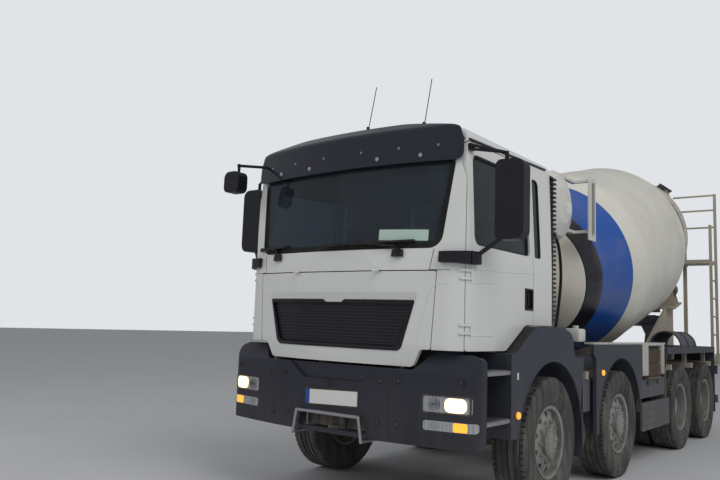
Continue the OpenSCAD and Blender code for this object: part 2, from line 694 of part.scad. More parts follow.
module seats() {
    place() color(slate) both_sides() {
        block([100, 600], [480, 980], [skirt_z + floor_t, 1700]);
        side_plate(rounded([[80, 1700, 20], [620, 1700, 60], [620, 1830, 60], [200, 1820, 20], [60, 2480, 60],
            [-60, 2500, 50], [40, 1760, 40]]), [470, 990]);
        side_plate(rounded([[-60, 2540, 30], [40, 2540, 30], [10, 2730, 40], [-80, 2730, 40]]), [600, 860]);
        for (y = [670, 790]) translate([-5, y, 2400]) cylinder(r = 7, h = 200, $fn = 24);
    }
}
wheel_c = [790, 730, 2010];
module steering_wheel() {
    place() color(black) translate(wheel_c) rotate([0, -column_tilt, 0]) {
        rotate_extrude() translate([225, 0]) circle(r = 16, $fn = 24);
        for (a = [0, 120, 240]) rotate([0, 0, a + 60]) block([40, 215], [-18, 18], [-12, 4]);
        translate([0, 0, -30]) cylinder(r = 75, h = 40);
    }
}

// DOORS: the side of the cab cut out whole, with a window opening and a sunk handle
handle_x = [150, 290];
handle_z = [1645, 1805];
// Hinges at the door's front edge: a knuckle on the door between two lugs with the pin on the cab
hinge_c = [1218, cab_half + 1.5];
hinge_z = [1440, 1840];
hinge_r = 8;
hinge_pin_r = 4;
knuckle_h = 40;
lug_h = 18;
corner_c = [corner_x, cab_half - corner_r];
// Angle on the cab's corner of a place along the truck, at a radius round the corner
function corner_at(x, r) = acos((x - corner_x) / r);
hinge_at = atan2(hinge_c.y - corner_c.y, hinge_c.x - corner_c.x);
module door_lugs() {
    outer = corner_r + 10;
    inner = corner_r + 3;
    root = corner_at(door_front + panel_gap + 6, inner);
    tip = corner_at(door_front + panel_gap + 34, inner);
    // A strap that follows the corner from the pin to the pillar
    strap = concat(arc(corner_c.x, corner_c.y, outer, hinge_at, tip, 5), arc(corner_c.x, corner_c.y, corner_r - 8,
        tip, root, 2), arc(corner_c.x, corner_c.y, inner, root, hinge_at, 4));
    for (z = hinge_z) {
        for (e = [-lug_h - seat, knuckle_h + seat]) {
            translate([hinge_c.x, hinge_c.y, z + e]) cylinder(r = hinge_r, h = lug_h);
            plan_plate(strap, [z + e, z + e + lug_h]);
        }
        translate([hinge_c.x, hinge_c.y, z - 5]) cylinder(r = hinge_pin_r, h = knuckle_h + 10);
    }
}
module door_knuckles() {
    for (z = hinge_z) difference() {
        union() {
            translate([hinge_c.x, hinge_c.y, z]) cylinder(r = hinge_r, h = knuckle_h);
            plan_plate([hinge_c + [-7, -24], hinge_c + [7, -24], hinge_c + [7, 3], hinge_c + [-7, 3]], [z, z + knuckle_h]);
        }
        translate([hinge_c.x, hinge_c.y, z - cut]) cylinder(r = hinge_pin_r + seat, h = knuckle_h + 2 * cut);
    }
}
module door() {
    door_knuckles();
    difference() {
        intersection() {
            cab_form(0);
            side_plate(door_outline(0), [cab_half - 200, cab_half + 60]);
        }
        cab_form(door_t);
        side_plate(door_window(0), [cab_half - 260, cab_half + 80]);
        block(handle_x, [cab_half - 28, cab_half + cut], handle_z);
    }
}
module door_glass() {
    intersection() {
        glass_layer(30);
        side_plate(door_window(-seat), [cab_half - 200, cab_half + 60]);
    }
}
module door_left() { place() color(white) door(); }
module door_right() { place() color(white) mirror([0, 1, 0]) door(); }
module door_glass_left() { place() color([0.3, 0.4, 0.38, 0.5]) door_glass(); }
module door_glass_right() { place() color([0.3, 0.4, 0.38, 0.5]) mirror([0, 1, 0]) door_glass(); }

// MIRRORS: a tall housing on two arms, which rides on the door
fairing_z = [1935, 2032];
module surface_pad(points, depth) {
    intersection() {
        difference() {
            cab_form(-depth);
            cab_form(-seat);
        }
        side_plate(points, [cab_half - 180, cab_half + 100]);
    }
}
mirror_x = [1010, 1120];
mirror_y = [1250, 1480];
mirror_z = [2125, 2730];
module mirror_head() {
    // Housing, open towards the rear where the glass sits
    difference() {
        translate([mirror_x[1], mirror_y[0], mirror_z[0]]) rotate([0, -90, 0]) linear_extrude(mirror_x[1] - mirror_x[0])
            polygon(rounded([[0, 0, 45], [mirror_z[1] - mirror_z[0], 0, 45],
                [mirror_z[1] - mirror_z[0], mirror_y[1] - mirror_y[0], 70], [0, mirror_y[1] - mirror_y[0], 70]]));
        translate([mirror_x[0] + 12, mirror_y[0] + 14, mirror_z[0] + 14]) rotate([0, -90, 0]) linear_extrude(40)
            polygon(rounded([[0, 0, 30], [mirror_z[1] - mirror_z[0] - 28, 0, 30],
                [mirror_z[1] - mirror_z[0] - 28, mirror_y[1] - mirror_y[0] - 28, 55],
                [0, mirror_y[1] - mirror_y[0] - 28, 55]]));
    }
}
module door_mirror() {
    mirror_head();
    surface_pad(rounded([[1150, fairing_z[0], 20], [door_front, fairing_z[0], 0], [door_front, fairing_z[1], 0],
        [1150, fairing_z[1], 20]]), 45);
    rod([1195, cab_half + 25, 2000], [1090, mirror_y[0] + 60, mirror_z[0] + 25], 17);
    // Upper arm from the top of the door's frame
    surface_pad([[1170, 2805], [1235, 2805], [1235, 2855], [1170, 2855]], 28);
    for (z = [2815, 2845])
        rod([1200, cab_half - 25, z], [1070, mirror_y[0] + 70, mirror_z[1] + 60], 11);
    rod([1070, mirror_y[0] + 70, mirror_z[1] + 68], [1070, mirror_y[0] + 70, mirror_z[1] - 20], 15);
}
module mirror_left() { place() color(slate) door_mirror(); }
module mirror_right() { place() color(slate) mirror([0, 1, 0]) door_mirror(); }
module mirror_fairings() {
    place() color(slate) both_sides() surface_pad(rounded([[door_front + panel_gap + 1, fairing_z[0], 0], [1420, fairing_z[0] + 10, 30],
        [1420, fairing_z[1] - 10, 30], [door_front + panel_gap + 1, fairing_z[1], 0]]), 45);
}
kerb_mirror_y = -1235;
kerb_mirror_z = 2610;
module kerb_mirror() {
    place() color(slate) {
        translate([front_reach - 110, kerb_mirror_y, kerb_mirror_z]) rotate([90, 0, 90]) linear_extrude(110)
            polygon(rounded([[0, 0, 50], [190, 0, 50], [190, 190, 60], [0, 190, 60]]));
        // Short arm that ends on the visor
        knee = [front_reach - 60, kerb_mirror_y + 125, kerb_mirror_z + 250];
        difference() {
            union() {
                translate([knee.x, knee.y, kerb_mirror_z + 90]) cylinder(r = 13, h = 160);
                translate(knee) sphere(r = 19);
                rod(knee, [1240, -950, 2880], 13);
            }
            cab_form(-visor_t - seat);
        }
    }
}
wiper_y = [590, -690];
wiper_reach = 960;
module wipers() {
    place() color(black) intersection() {
        difference() {
            cab_form(-26);
            cab_form(-seat);
        }
        for (y = wiper_y) {
            front_plate([[y - 45, 1990], [y + 45, 1990], [y + 40, 2046], [y - 40, 2046]], [1200, 1700]);
            front_plate([[y, 2046], [y + 26, 2046], [y - 230, 2110], [y - 240, 2096]], [1200, 1700]);
            let (blade_end = max(y - 700, -wiper_reach))
                front_plate([[blade_end, 2084], [y + 130, 2104], [y + 130, 2120], [blade_end, 2100]], [1200, 1700]);
        }
    }
}
module air_intake() {
    place() color(black) {
        x = [-cab_rear - 95, -cab_rear - seat];
        block(x, [880, 1075], [1540, 2900]);
        for (z = [1560 : 42 : 2880]) block([x[0] - 18, x[1]], [870, 1098], [z, z + 18]);
    }
}

// FRONT FLAP: the panel below the windscreen, with the grille
grille_z = [1280, 1660];
function grille_outline(g) = rounded([[-635 - g, grille_z[0] - g, 60], [635 + g, grille_z[0] - g, 60],
    [745 + g, grille_z[1] + g, 12], [-745 - g, grille_z[1] + g, 12]]);
function strip_outline(g) = rounded([[-745 - g, 1663 - g, 8], [-110, 1663 - g, 10], [-80, 1640 - g, 10],
    [80, 1640 - g, 10], [110, 1663 - g, 10], [745 + g, 1663 - g, 8], [755 + g, 1715 + g, 10],
    [-755 - g, 1715 + g, 10]]);
module flap_layer(from, to) {
    difference() {
        cab_form(from);
        cab_form(to);
    }
}
module front_flap() {
    place() color(white) {
        flap_panel();
        flap_knuckles();
    }
}
module flap_panel() {
    difference() {
        intersection() {
            flap_layer(0, flap_t);
            front_plate(flap_outline(0), [bulkhead_x, 2000]);
        }
        front_plate(grille_outline(0), [1200, 2000]);
        front_plate(strip_outline(0), [1200, 2000]);
    }
}
module grille() {
    place() color(black) difference() {
        intersection() {
            flap_layer(-6, flap_t);
            front_plate(grille_outline(-seat), [bulkhead_x, 2000]);
        }
        front_plate(strip_outline(seat), [1200, 2000]);
        // Sunk field inside the frame
        intersection() {
            flap_layer(-20, 14);
            front_plate(grille_outline(-30), [1200, 2000]);
        }
    }
}
module grille_strip() {
    place() color([0.8, 0.8, 0.8]) intersection() {
        flap_layer(-12, 20);
        front_plate(strip_outline(-seat), [bulkhead_x, 2000]);
    }
}

// BUMPER: a curved shell with lamp openings, the towing opening and inner ribs
bumper_r = 5500;
bumper_axis_x = bumper_front - bumper_r;
bumper_corner_r = 100;
bumper_side_x = 1190;
bumper_cx = bumper_axis_x + sqrt(pow(bumper_r - bumper_corner_r, 2) - pow(body_half - bumper_corner_r, 2));
bumper_turn = asin((body_half - bumper_corner_r) / (bumper_r - bumper_corner_r));
shoulder_z = 1138;
function bumper_profile(d) = rounded([[1000, 400, 0], [bumper_front - 75 - d, 400, 0], [bumper_front - d, 720, 150],
    [bumper_front - d, shoulder_z, 40], [bumper_front - 208 - d, shoulder_z + 262, 0], [1000, shoulder_z + 262, 0]]);
function bumper_plan_half(d) = concat([[bumper_side_x - (d > 0 ? 100 : 0), body_half - d]],
    arc(bumper_cx, body_half - bumper_corner_r, bumper_corner_r - d, 90, bumper_turn, 6),
    [[bumper_cx + (bumper_corner_r - d) * cos(bumper_turn) + 400 * sin(bumper_turn),
        body_half - bumper_corner_r + (bumper_corner_r - d) * sin(bumper_turn) - 400 * cos(bumper_turn)]]);
module bumper_form(d) {
    intersection() {
        translate([bumper_axis_x, 0, 0]) rotate([0, 0, -20]) rotate_extrude(angle = 40, $fn = 360)
            polygon([for (p = bumper_profile(d)) [p.x - bumper_axis_x, p.y]]);
        plan_plate(concat(bumper_plan_half(d), mirrored(bumper_plan_half(d))), [300, 1500]);
    }
}
// Outline of the bumper in Y and Z, shrunk by g
function bumper_outline(g, low = bumper_low) = rounded([[-body_half + g - 1, low, 30], [body_half - g + 1, low, 30],
    [body_half - g + 1, 1240 - g, 50], [1150 - g, 1272 - g, 30], [860 - g, 1272 - g, 60], [745 - g, 1148 - g, 40],
    [-745 + g, 1148 - g, 40], [-860 + g, 1272 - g, 60], [-1150 + g, 1272 - g, 30], [-body_half + g - 1, 1240 - g, 50]]);
headlamp_y = [842, 1207];
headlamp_z = [858, 978];
fog_y = [847, 1238];
fog_z = [732, 802];
function lamp_outline(y, z, g) = rounded([[y[0] - g, z[0] - g, 18], [y[1] + g, z[0] - g, 18],
    [y[1] + g, z[1] + g, 18], [y[0] - g, z[1] + g, 18]]);
bumper_seam = 557;
step_recess = rounded([[-350, 640, 20], [350, 640, 20], [325, 762, 30], [-325, 762, 30]]);
module bumper() {
    place() color(slate) {
        difference() {
            intersection() {
                bumper_form(0);
                front_plate(bumper_outline(0), [1000, 1600]);
            }
            // Open at the back and below
            intersection() {
                bumper_form(bumper_t);
                front_plate(bumper_outline(16, bumper_low - 100), [1000, 1600]);
            }
            plan_plate([[1000, bumper_t - body_half], [1225, bumper_t - body_half], [1225, -780], [1345, -740],
                [1345, 740], [1225, 780], [1225, body_half - bumper_t], [1000, body_half - bumper_t]],
                [bumper_low - cut, 1500]);
            both_sides() {
                front_plate(lamp_outline(headlamp_y, headlamp_z, 0), [bumper_side_x - 50, 1600]);
                front_plate(lamp_outline(fog_y, fog_z, 0), [bumper_side_x + 40, 1600]);
            }
            front_plate(step_recess, [1300, 1600]);
            // Seams between the middle and the two corner parts
            for (y = [-bumper_seam - seat, bumper_seam])
                block([1000, 1600], [y, y + seat], [bumper_low - cut, 1300]);
            // Sunk field above the number plate
            intersection() {
                difference() {
                    bumper_form(-cut);
                    bumper_form(22);
                }
                front_plate([[-480, 1160], [480, 1160], [300, 1025], [-300, 1025]], [1300, 1600]);
            }
        }
        // Ribs that bear on the frame's front beam
        both_sides() block([front_beam_x + seat, bumper_front - bumper_t - 12], [560, 610],
            [rail_low - 90, rail_low + 70]);
    }
}
module lamps() {
    place() color([0.95, 0.9, 0.75]) {
        both_sides() intersection() {
            difference() {
                bumper_form(-2);
                bumper_form(bumper_t + 20);
            }
            union() {
                front_plate(lamp_outline(headlamp_y, headlamp_z, -seat), [1180, 1600]);
                front_plate(lamp_outline(fog_y, fog_z, -seat), [bumper_side_x + 40 + seat, 1600]);
            }
        }
        both_sides() {
            block([tail_x - 30, tail_x], [tail_y[0] + 20, tail_y[1] - 20], [tail_z[0] + 10, tail_z[1] - 10]);
            for (p = [[705, 817], [-1200, 1080]])
                translate([p[0], body_half, p[1]]) rotate([-90, 0, 0]) cylinder(r = 32, h = 12);
        }
    }
}
tail_x = -6975;
tail_y = [700, 1150];
tail_z = [870, 1010];

// ENTRY STEPS: two treads a side and the step bar below the number plate
step_x = [800, 1180];
tread_z = [770, 1128];
well_y = [790, 1090];
tread_out = body_half - 10;
module entry_steps() {
    place() color(steel) {
        both_sides() for (z = tread_z) {
            difference() {
                block(step_x, [well_y[1] - 20, tread_out], [z, z + 28]);
                for (x = [step_x[0] + 30 : 40 : step_x[1] - 30])
                    block([x, x + 18], [well_y[1] + 15, tread_out - 20], [z - cut, z + 28 + cut]);
            }
        }
        bar_x = bumper_front + 15;
        bar_low = bumper_low - 16;
        bar_back = front_beam_x + 13 + seat;
        bar_r = 13;
        rod([bar_x, -318, 765], [bar_x, 318, 765], bar_r);
        both_sides() {
            translate([bar_x, 318, 765]) sphere(r = bar_r + 1);
            rod([bar_x, 318, 765], [bar_x, 352, bar_low - bar_r], bar_r);
            rod([bar_x, 352, bar_low], [bar_back, 352, bar_low], bar_r);
            translate([bar_back, 352, bar_low - bar_r]) cylinder(r = bar_r, h = 720 - bar_low + bar_r);
        }
    }
}

// MUDGUARDS: plastic wings over the steered wheels, with the step wells, and sheet ones over the twin wheels
liner_y = 800;
liner_t = 12;
wing_1 = rounded([[790, 640, 0], [1185, 640, 0], [1185, 1285, 0], [652, 1288, 120], [skirt_x[1] + 8, skirt_z - 9, 120],
    [-230, skirt_z - 9, 60], [-440, 1440, 110], [-500, 1236, 10], [-720, 1236, 0], [-720, 1214, 0], [-560, 400, 0],
    [560, 400, 0], [640, 640, 0]]);
wing_2 = rounded([[-1050, 500, 10], [-1050, 1210, 40], [-985, 1260, 20], [-985, 1355, 0], [-2545, 1355, 0],
    [-2545, 1000, 20], [-2450, 800, 0], [-2350, 400, 0], [-1150, 400, 0], [-1140, 500, 0]]);
module wing(x, outline) {
    difference() {
        intersection() {
            side_plate(outline, [liner_y, body_half]);
            union() {
                block([-3000, 1300], [skin_y[0], body_half], [300, 1600]);
                cross_bar(x, tyre_r, arch_r + liner_t, [liner_y, body_half]);
            }
        }
        cross_bar(x, tyre_r, arch_r, [liner_y - cut, body_half + cut]);
        block([-3000, 1300], [liner_y - cut, body_half + cut], [300, wing_low]);
    }
}
wing_low = 500;
wing_seam = 652;
module wing_bracket(x) { block([x + 573, x + 613], [frame_half + seat, liner_y + 1], [850, 910]); }
module front_mudguards() {
    place() color(grey) both_sides() {
        difference() {
            wing(axle_x[0], wing_1);
            block([step_x[0] - 25 - seat, 1400], [skin_y[0] - cut, body_half + cut], [600, 1400]);
            // Seam between the wing and the strip beside the step well
            block([wing_seam, wing_seam + seat], [liner_y - cut, body_half + cut], [wing_low - cut, 1400]);
        }
        wing_bracket(axle_x[0]);
        // Flap behind the first wheel
        block([-722, -710], [liner_y, body_half - 10], [330, 1214]);
    }
}
module second_mudguards() {
    place() color(grey) both_sides() {
        wing(axle_x[1], wing_2);
        wing_bracket(axle_x[1]);
    }
}
// Step wells, open to the outside, with their back walls and the shelf under the lower tread
module step_wells() {
    place() color(grey) both_sides() {
        difference() {
            block([step_x[0] - 25, step_x[1]], [well_y[0], well_y[1]], [740, 1285]);
            block([step_x[0], step_x[1] + cut], [well_y[0] + 30, well_y[1] + cut], [tread_z[0] - seat, 1285 + cut]);
        }
        block([step_x[0] - 25, step_x[0] - seat], [well_y[0], body_half], [640, 1285]);
        block([step_x[0] - 20, step_x[0] + 20], [frame_half + seat, well_y[0] + 1], [850, 910]);
    }
}
rear_guard_x = [-6300, -3620];
module rear_mudguards() {
    place() color(grey) both_sides() {
        block(rear_guard_x, [650, body_half], [mudguard_z, mudguard_z + 16]);
        block(rear_guard_x, [skin_y[0] + 15, body_half], [mudguard_z - 65, mudguard_z + 10]);
        side_plate([[rear_guard_x[1], mudguard_z + 16], [-3470, 1020], [-3486, 1012], [rear_guard_x[1] - 14, mudguard_z]],
            [650, body_half]);
        // Flap behind the last wheel
        block([rear_guard_x[0] - 12, rear_guard_x[0]], [650, body_half - 10], [330, mudguard_z + 10]);
    }
}
module side_panels() {
    place() color(white) both_sides() {
        block([-3500, -985], [skin_y[0] - 60, body_half], [1355, 1373]);
        difference() {
            block([-3450, -2550], skin_y, [1000, 1355]);
            block([chock_x[0] - 20, chock_x[1] + 20], [skin_y[0] - cut, body_half + cut], [960, 1340]);
        }
    }
}
chock_x = [-3330, -2800];
box_x = [-3600, -2590];
box_y = [450, 1200];
box_z = [740, 950];
module chock(z) {
    block(chock_x, [1130, 1215], [z, z + 160]);
    for (x = [chock_x[0] + 15 : 50 : chock_x[1] - 30]) block([x, x + 25], [1214, 1235], [z + 12, z + 148]);
}
module wheel_chocks() {
    place() color([0.35, 0.25, 0.15]) both_sides() {
        block([chock_x[0] - 10, chock_x[1] + 10], [1110, 1240], [box_z[1], box_z[1] + 25]);
        for (z = [box_z[1] + 25, box_z[1] + 185]) chock(z);
    }
}
module side_boxes() {
    place() color(grey) {
        both_sides() {
            // Box between the steered axles, with the air tank below it
            block([-1020, -745], [810, 1190], [720, frame_top + 5]);
            cross_bar(-955, 500, 140, [620, 1120]);
            block([-1000, -940], [820, 1000], [640, 721]);
            // Box between the second and the third axle
            block(box_x, box_y, box_z);
            for (x = [-2800, -3400]) block([x - 40, x + 40], [frame_half, box_y[0] + 1], [800, 900]);
        }
    }
}
module guards() {
    place() color(grey) {
        both_sides() {
            side_plate(rounded([[-3700, 380, 20], [-2570, 380, 20], [-2570, 695, 20], [-3700, 695, 20]]),
                [skin_y[0] - 5, skin_y[0] + 20]);
            for (x = [-2560, -3640]) block([x - 25, x + 25], [skin_y[0] - 40, skin_y[0] - 5], [600, frame_top + 5]);
            // Arms of the rear bar and the lamp carriers
            block([frame_rear, frame_rear + 60], [frame_half - 70, frame_half], [470, rail_low]);
            block([frame_rear + 10, frame_rear + 50], [frame_half, tail_y[1]], [900, 960]);
            block([tail_x, frame_rear + 12], tail_y, tail_z);
        }
        block([frame_rear - 20, frame_rear + 80], [-1150, 1150], [420, 540]);
    }
}

// WATER TANK: lies across the truck on two saddles, with its level gauge
module water_tank() {
    place() color(white) {
        translate([tank_x, 0, tank_z]) rotate([-90, 0, 0]) rotate_extrude() {
            h = tank_len / 2;
            polygon([[0, -h], [tank_r * 0.5, -h + 15], [tank_r * 0.85, -h + 60], [tank_r, -h + 130],
                [tank_r, h - 130], [tank_r * 0.85, h - 60], [tank_r * 0.5, h - 15], [0, h]]);
        }
        // Gauge plate beside the tank's end, on two brackets
        for (z = [2560, 3130]) {
            block([-1830, tank_x], [690, 740], [z, z + 30]);
            block([-1850, -1810], [690, 896], [z, z + 30]);
        }
        block([-2010, -1790], [895, 907], [2480, 3190]);
    }
}
// DRUM DRIVE: gearbox and motor on the front pedestal
drum_front = -262;
module drum_drive() {
    place() color(black) {
        drum_axis() {
            translate([0, 0, drum_front - seat - 60]) cylinder(r = 230, h = 60);
            translate([0, 0, drum_front - 260]) cylinder(r = 195, h = 210);
            translate([0, 0, drum_front - 420]) cylinder(r = 105, h = 170);
        }
        block([-1760, -1420], [-180, 180], [drive_seat_z, 1860]);
    }
}
// DRUM: front dish, cone, cylinder and rear cone as [place along the axis, radius, rounding]
drum_cone_s = 1000;
drum_cyl_s = 2930;
mouth_s = 4930;
function drum_line(d) = [[drum_front + 27 + d, 150, 0], [-120 + d, 470 - d, 60], [100 + d, 757 - d, 90],
    [drum_cone_s, drum_r - d, 400], [drum_cyl_s, drum_r - d, 400], [mouth_s, mouth_r + drum_t - d, 0]];
function open_rounded(c) =
    [for (i = [0 : len(c) - 1]) each i == 0 || i == len(c) - 1 || c[i][2] == 0 ? [[c[i].x, c[i].y]]
        : corner_arc([c[i - 1].x, c[i - 1].y], [c[i].x, c[i].y], [c[i + 1].x, c[i + 1].y], c[i][2], 4)];
module drum() {
    place() color(white) drum_axis() {
        rotate_extrude($fn = 128) {
            polygon([for (p = concat(open_rounded(drum_line(0)), reversed(open_rounded(drum_line(drum_t))))) [p.y, p.x]]);
            polygon([[0, drum_front], [151, drum_front], [151, drum_front + 27 + drum_t], [0, drum_front + 27 + drum_t]]);
            // Rolled rim of the mouth
            polygon([[mouth_r, mouth_s - 60], [mouth_r + drum_t + 14, mouth_s - 45], [mouth_r + drum_t + 14, mouth_s],
                [mouth_r, mouth_s]]);
            // Running ring on its web
            w = roller_w / 2;
            web_r = drum_r - (drum_r - mouth_r) * (roller_s - drum_cyl_s) / (mouth_s - drum_cyl_s) - 20;
            polygon([[web_r, roller_s - 12], [ring_r - 25, roller_s - 12], [ring_r - 25, roller_s - w],
                [ring_r, roller_s - w], [ring_r, roller_s + w], [ring_r - 25, roller_s + w],
                [ring_r - 25, roller_s + 12], [web_r, roller_s + 12]]);
        }
    }
}
module roller(side) {
    place() color(steel) mirror([0, side, 0]) drum_axis() translate([roller_up, roller_left, roller_s]) {
        cylinder(r = roller_r, h = roller_w, center = true);
        cylinder(r = roller_pin_r, h = roller_w + 60, center = true);
    }
}
module roller_left() { roller(0); }
module roller_right() { roller(1); }

// Outline moved inward by d, for an outline that runs anticlockwise
function inset(list, d) =
    let (n = len(list))
    [for (i = [0 : n - 1])
        let (p = list[i], u = unit(p - list[(i + n - 1) % n]), v = unit(list[(i + 1) % n] - p))
        let (a = [-u.y, u.x], b = [-v.y, v.x])
        p + (a + b) * d / (1 + a * b)];
// A sheet funnel from its side and front outlines, open at the top and the bottom
module funnel(side, front, t) {
    difference() {
        intersection() {
            side_plate(side, [-700, 700]);
            front_plate(front, [-7700, -6400]);
        }
        intersection() {
            side_plate(inset(side, t), [-700, 700]);
            front_plate(inset(front, t), [-7700, -6400]);
        }
        children();
    }
}
// HOPPER: the feed funnel, whose spout reaches into the drum's mouth
hopper_z = [3440, 3985];
hopper_side_view = [[-7150, hopper_z[1]], [-6800, 3560], [-6710, hopper_z[0]], [-6570, 3620], [-6650, 3790],
    [-6668, 3893], [-6300, hopper_z[1] - 25], [-6290, hopper_z[1]]];
hopper_front_view = [[-460, hopper_z[1]], [-225, 3790], [-205, hopper_z[0]], [205, hopper_z[0]], [225, 3790],
    [460, hopper_z[1]]];
// Half of the hopper's width at a height on its flared part, with the seat's gap
function hopper_half(z) = let (a = hopper_front_view[4], b = hopper_front_view[5])
    a.x + (b.x - a.x) * (z - a.y) / (b.y - a.y) + 1.6 * seat;
module hopper() {
    place() color(black) funnel(hopper_side_view, hopper_front_view, 8) {
        block([-7128, -6330], [-434, 434], [hopper_z[1] - 15, hopper_z[1] + 10]);
        side_plate([[-6790, 3560], [-6712, 3425], [-6560, 3615], [-6580, 3640]], [-197, 197]);
    }
}
// DISCHARGE FUNNEL: gathers what leaves the mouth and drops it into the chute
spout_z = [1865, 2120];
spout_r = 165;
funnel_side_view = [[-7545, 3250], [-7530, 2110], [-7200, 2110], [-6850, 2540], [-6985, 2600]];
funnel_front_view = [[-430, 3255], [-430, 2600], [-165, 2110], [165, 2110], [430, 2600], [430, 3255]];
funnel_t = 8;
module discharge_funnel() {
    place() color(black) {
        funnel(funnel_side_view, funnel_front_view, funnel_t) {
            // Open along its slanting upper edge
            let (lip = inset(funnel_side_view, funnel_t + 1))
                side_plate([lip[0], lip[4], [lip[4].x, 3600], [lip[0].x, 3600]], [-700, 700]);
            translate([chute_x, 0, spout_z[1] - 20]) cylinder(r = spout_r - 14, h = 40);
        }
        difference() {
            translate([chute_x, 0, spout_z[0]]) cylinder(r = spout_r, h = spout_z[1] - spout_z[0] - 7);
            translate([chute_x, 0, spout_z[0] - cut]) cylinder(r = spout_r - 10, h = 400);
        }
        // Brackets to the posts
        both_sides() block([hopper_post_x[0] - 240, hopper_post_x[0]], [422, 700], [2640, 2680]);
    }
}
// LADDER: side frame, platform and rails at the left rear corner
ladder_x = [-6925, -6540];
ladder_y = [1150, 1190];
platform_z = 2640;
module ladder() {
    place() color(beige) {
        for (x = ladder_x) block([x - 20, x + 20], ladder_y, [mudguard_z + 120, x == ladder_x[0] ? 3830 : 3260]);
        for (z = [1500 : 290 : 2600]) cross_x(z);
        block([ladder_x[0] - 20, ladder_x[1] + 20], [740, ladder_y[0] + 1], [platform_z, platform_z + 60]);
        for (z = [3260, 3550, 3800]) block([ladder_x[0] - 15, ladder_x[0] + 15], [520, ladder_y[0] + 1], [z, z + 25]);
        for (x = ladder_x) {
            block([x - 20, x + 20], [frame_half - 80, ladder_y[1]], [deck, deck + 40]);
            block([x - 20, x + 20], ladder_y, [deck, mudguard_z + 121]);
        }
    }
}
module cross_x(z) { long_bar((ladder_y[0] + ladder_y[1]) / 2, z, 14, ladder_x); }
// A half-round trough along -Y from the origin, its rim at Z = 0 and its open side up
module trough(len, r, wall) {
    difference() {
        rotate([90, 0, 0]) cylinder(r = r + wall, h = len);
        translate([0, cut, 0]) rotate([90, 0, 0]) cylinder(r = r, h = len + 2 * cut);
        block([-r - 50, r + 50], [-len - cut, cut], [0, r + 50]);
    }
}
// STORED CHUTE: an extension trough that lies rim down on the left rear mudguard
stored_x = -5350;
stored_len = 850;
module stored_chute() {
    place() color(grey) translate([stored_x, 985, mudguard_z + 16]) rotate([180, 0, -90]) {
        trough(stored_len, trough_r, trough_t);
        for (y = [0, -stored_len / 2 + 15, -stored_len + 30])
            translate([0, y, 0]) trough(30, trough_r + trough_t - 1, 13);
    }
}
// CHUTE: a swinging fork on an upright pin, the main trough and the one that folds over it
pin_r = 35;
tilt_z = 1480;
tilt_pin_r = 20;
rim_z = tilt_z + 330;
head_y = 150;
lug_x = [95, 120];
fork_x = [123, 148];
fold_gap = 6;
fold_start_y = head_y - chute_len + 2 * fold_gap;
// The folded trough ends clear of the spout, also with the chute at its lowest
fold_end_y = -260;
fold_len = fold_end_y - fold_start_y;
module chute_swing() {
    place() color(grey) translate([chute_x, 0, 0]) {
        translate([0, 0, bearing_z[0] - 20]) cylinder(r = pin_r, h = bearing_z[1] - bearing_z[0] + 40);
        translate([0, 0, bearing_z[1] + seat]) cylinder(r = 95, h = 40);
        block([-fork_x[1], fork_x[1]], [-75, 75], [bearing_z[1] + 40, bearing_z[1] + 70]);
        for (m = [0, 1]) mirror([m, 0, 0]) difference() {
            side_fork();
            translate([0, 0, tilt_z]) rotate([0, 90, 0]) cylinder(r = tilt_pin_r + seat, h = 300);
        }
    }
}
module side_fork() {
    front_plate(rounded([[-75, bearing_z[1] + 45, 0], [75, bearing_z[1] + 45, 0], [45, tilt_z + 45, 40],
        [-45, tilt_z + 45, 40]]), fork_x);
}
module chute_main() {
    place() color(grey) translate([chute_x, 0, 0]) {
        translate([0, head_y, rim_z]) trough(chute_len, trough_r, trough_t);
        // Lugs under the trough and the pin that joins them
        for (m = [0, 1]) mirror([m, 0, 0])
            front_plate(rounded([[-45, tilt_z - 40, 40], [45, tilt_z - 40, 40], [140, rim_z - 165, 0],
                [-140, rim_z - 165, 0]]), lug_x);
        translate([-fork_x[1], 0, tilt_z]) rotate([0, 90, 0]) cylinder(r = tilt_pin_r, h = 2 * fork_x[1]);
        // Ears of the fold-over hinge
        for (m = [0, 1]) mirror([m, 0, 0]) {
            difference() {
                union() {
                    block([trough_r + 2, ear_x], [fold_y - ear_r, fold_y + ear_r], [rim_z - 40, fold_z]);
                    translate([trough_r + trough_t + seat, fold_y, fold_z]) rotate([0, 90, 0])
                        cylinder(r = ear_r, h = ear_x - trough_r - trough_t - seat);
                }
                translate([trough_r - 10, fold_y, fold_z]) rotate([0, 90, 0]) cylinder(r = fold_pin_r + seat, h = 60);
                translate([0, head_y, rim_z]) rotate([90, 0, 0]) cylinder(r = trough_r + 2, h = chute_len + 60);
                // Room for the unfolded trough
                translate([0, head_y - chute_len, rim_z]) rotate([90, 0, 0])
                    cylinder(r = trough_r + trough_t + seat, h = 60);
            }
        }
    }
}
fold_y = head_y - chute_len + fold_gap / 2;
fold_z = rim_z + fold_gap / 2;
fold_pin_r = 5;
ear_r = 12;
ear_x = trough_r + trough_t + 12;
module chute_fold() {
    place() color(grey) translate([chute_x, 0, 0]) {
        translate([0, fold_start_y, rim_z + fold_gap]) rotate([180, 0, 0]) trough(fold_len, trough_r, trough_t);
        for (m = [0, 1]) mirror([m, 0, 0]) {
            block([trough_r + 2, ear_x + fold_ear_out - 12], [fold_y + 17, fold_y + 60], [fold_z + 4, fold_z + 27]);
            block([ear_x + seat, ear_x + fold_ear_out - 12], [fold_y, fold_y + 60], [fold_z - 8, fold_z + 27]);
            translate([ear_x + seat, fold_y, fold_z]) rotate([0, 90, 0])
                cylinder(r = ear_r, h = fold_ear_out - 12 - seat);
            translate([trough_r + trough_t + 1, fold_y, fold_z]) rotate([0, 90, 0]) cylinder(r = fold_pin_r, h = 14);
        }
    }
}

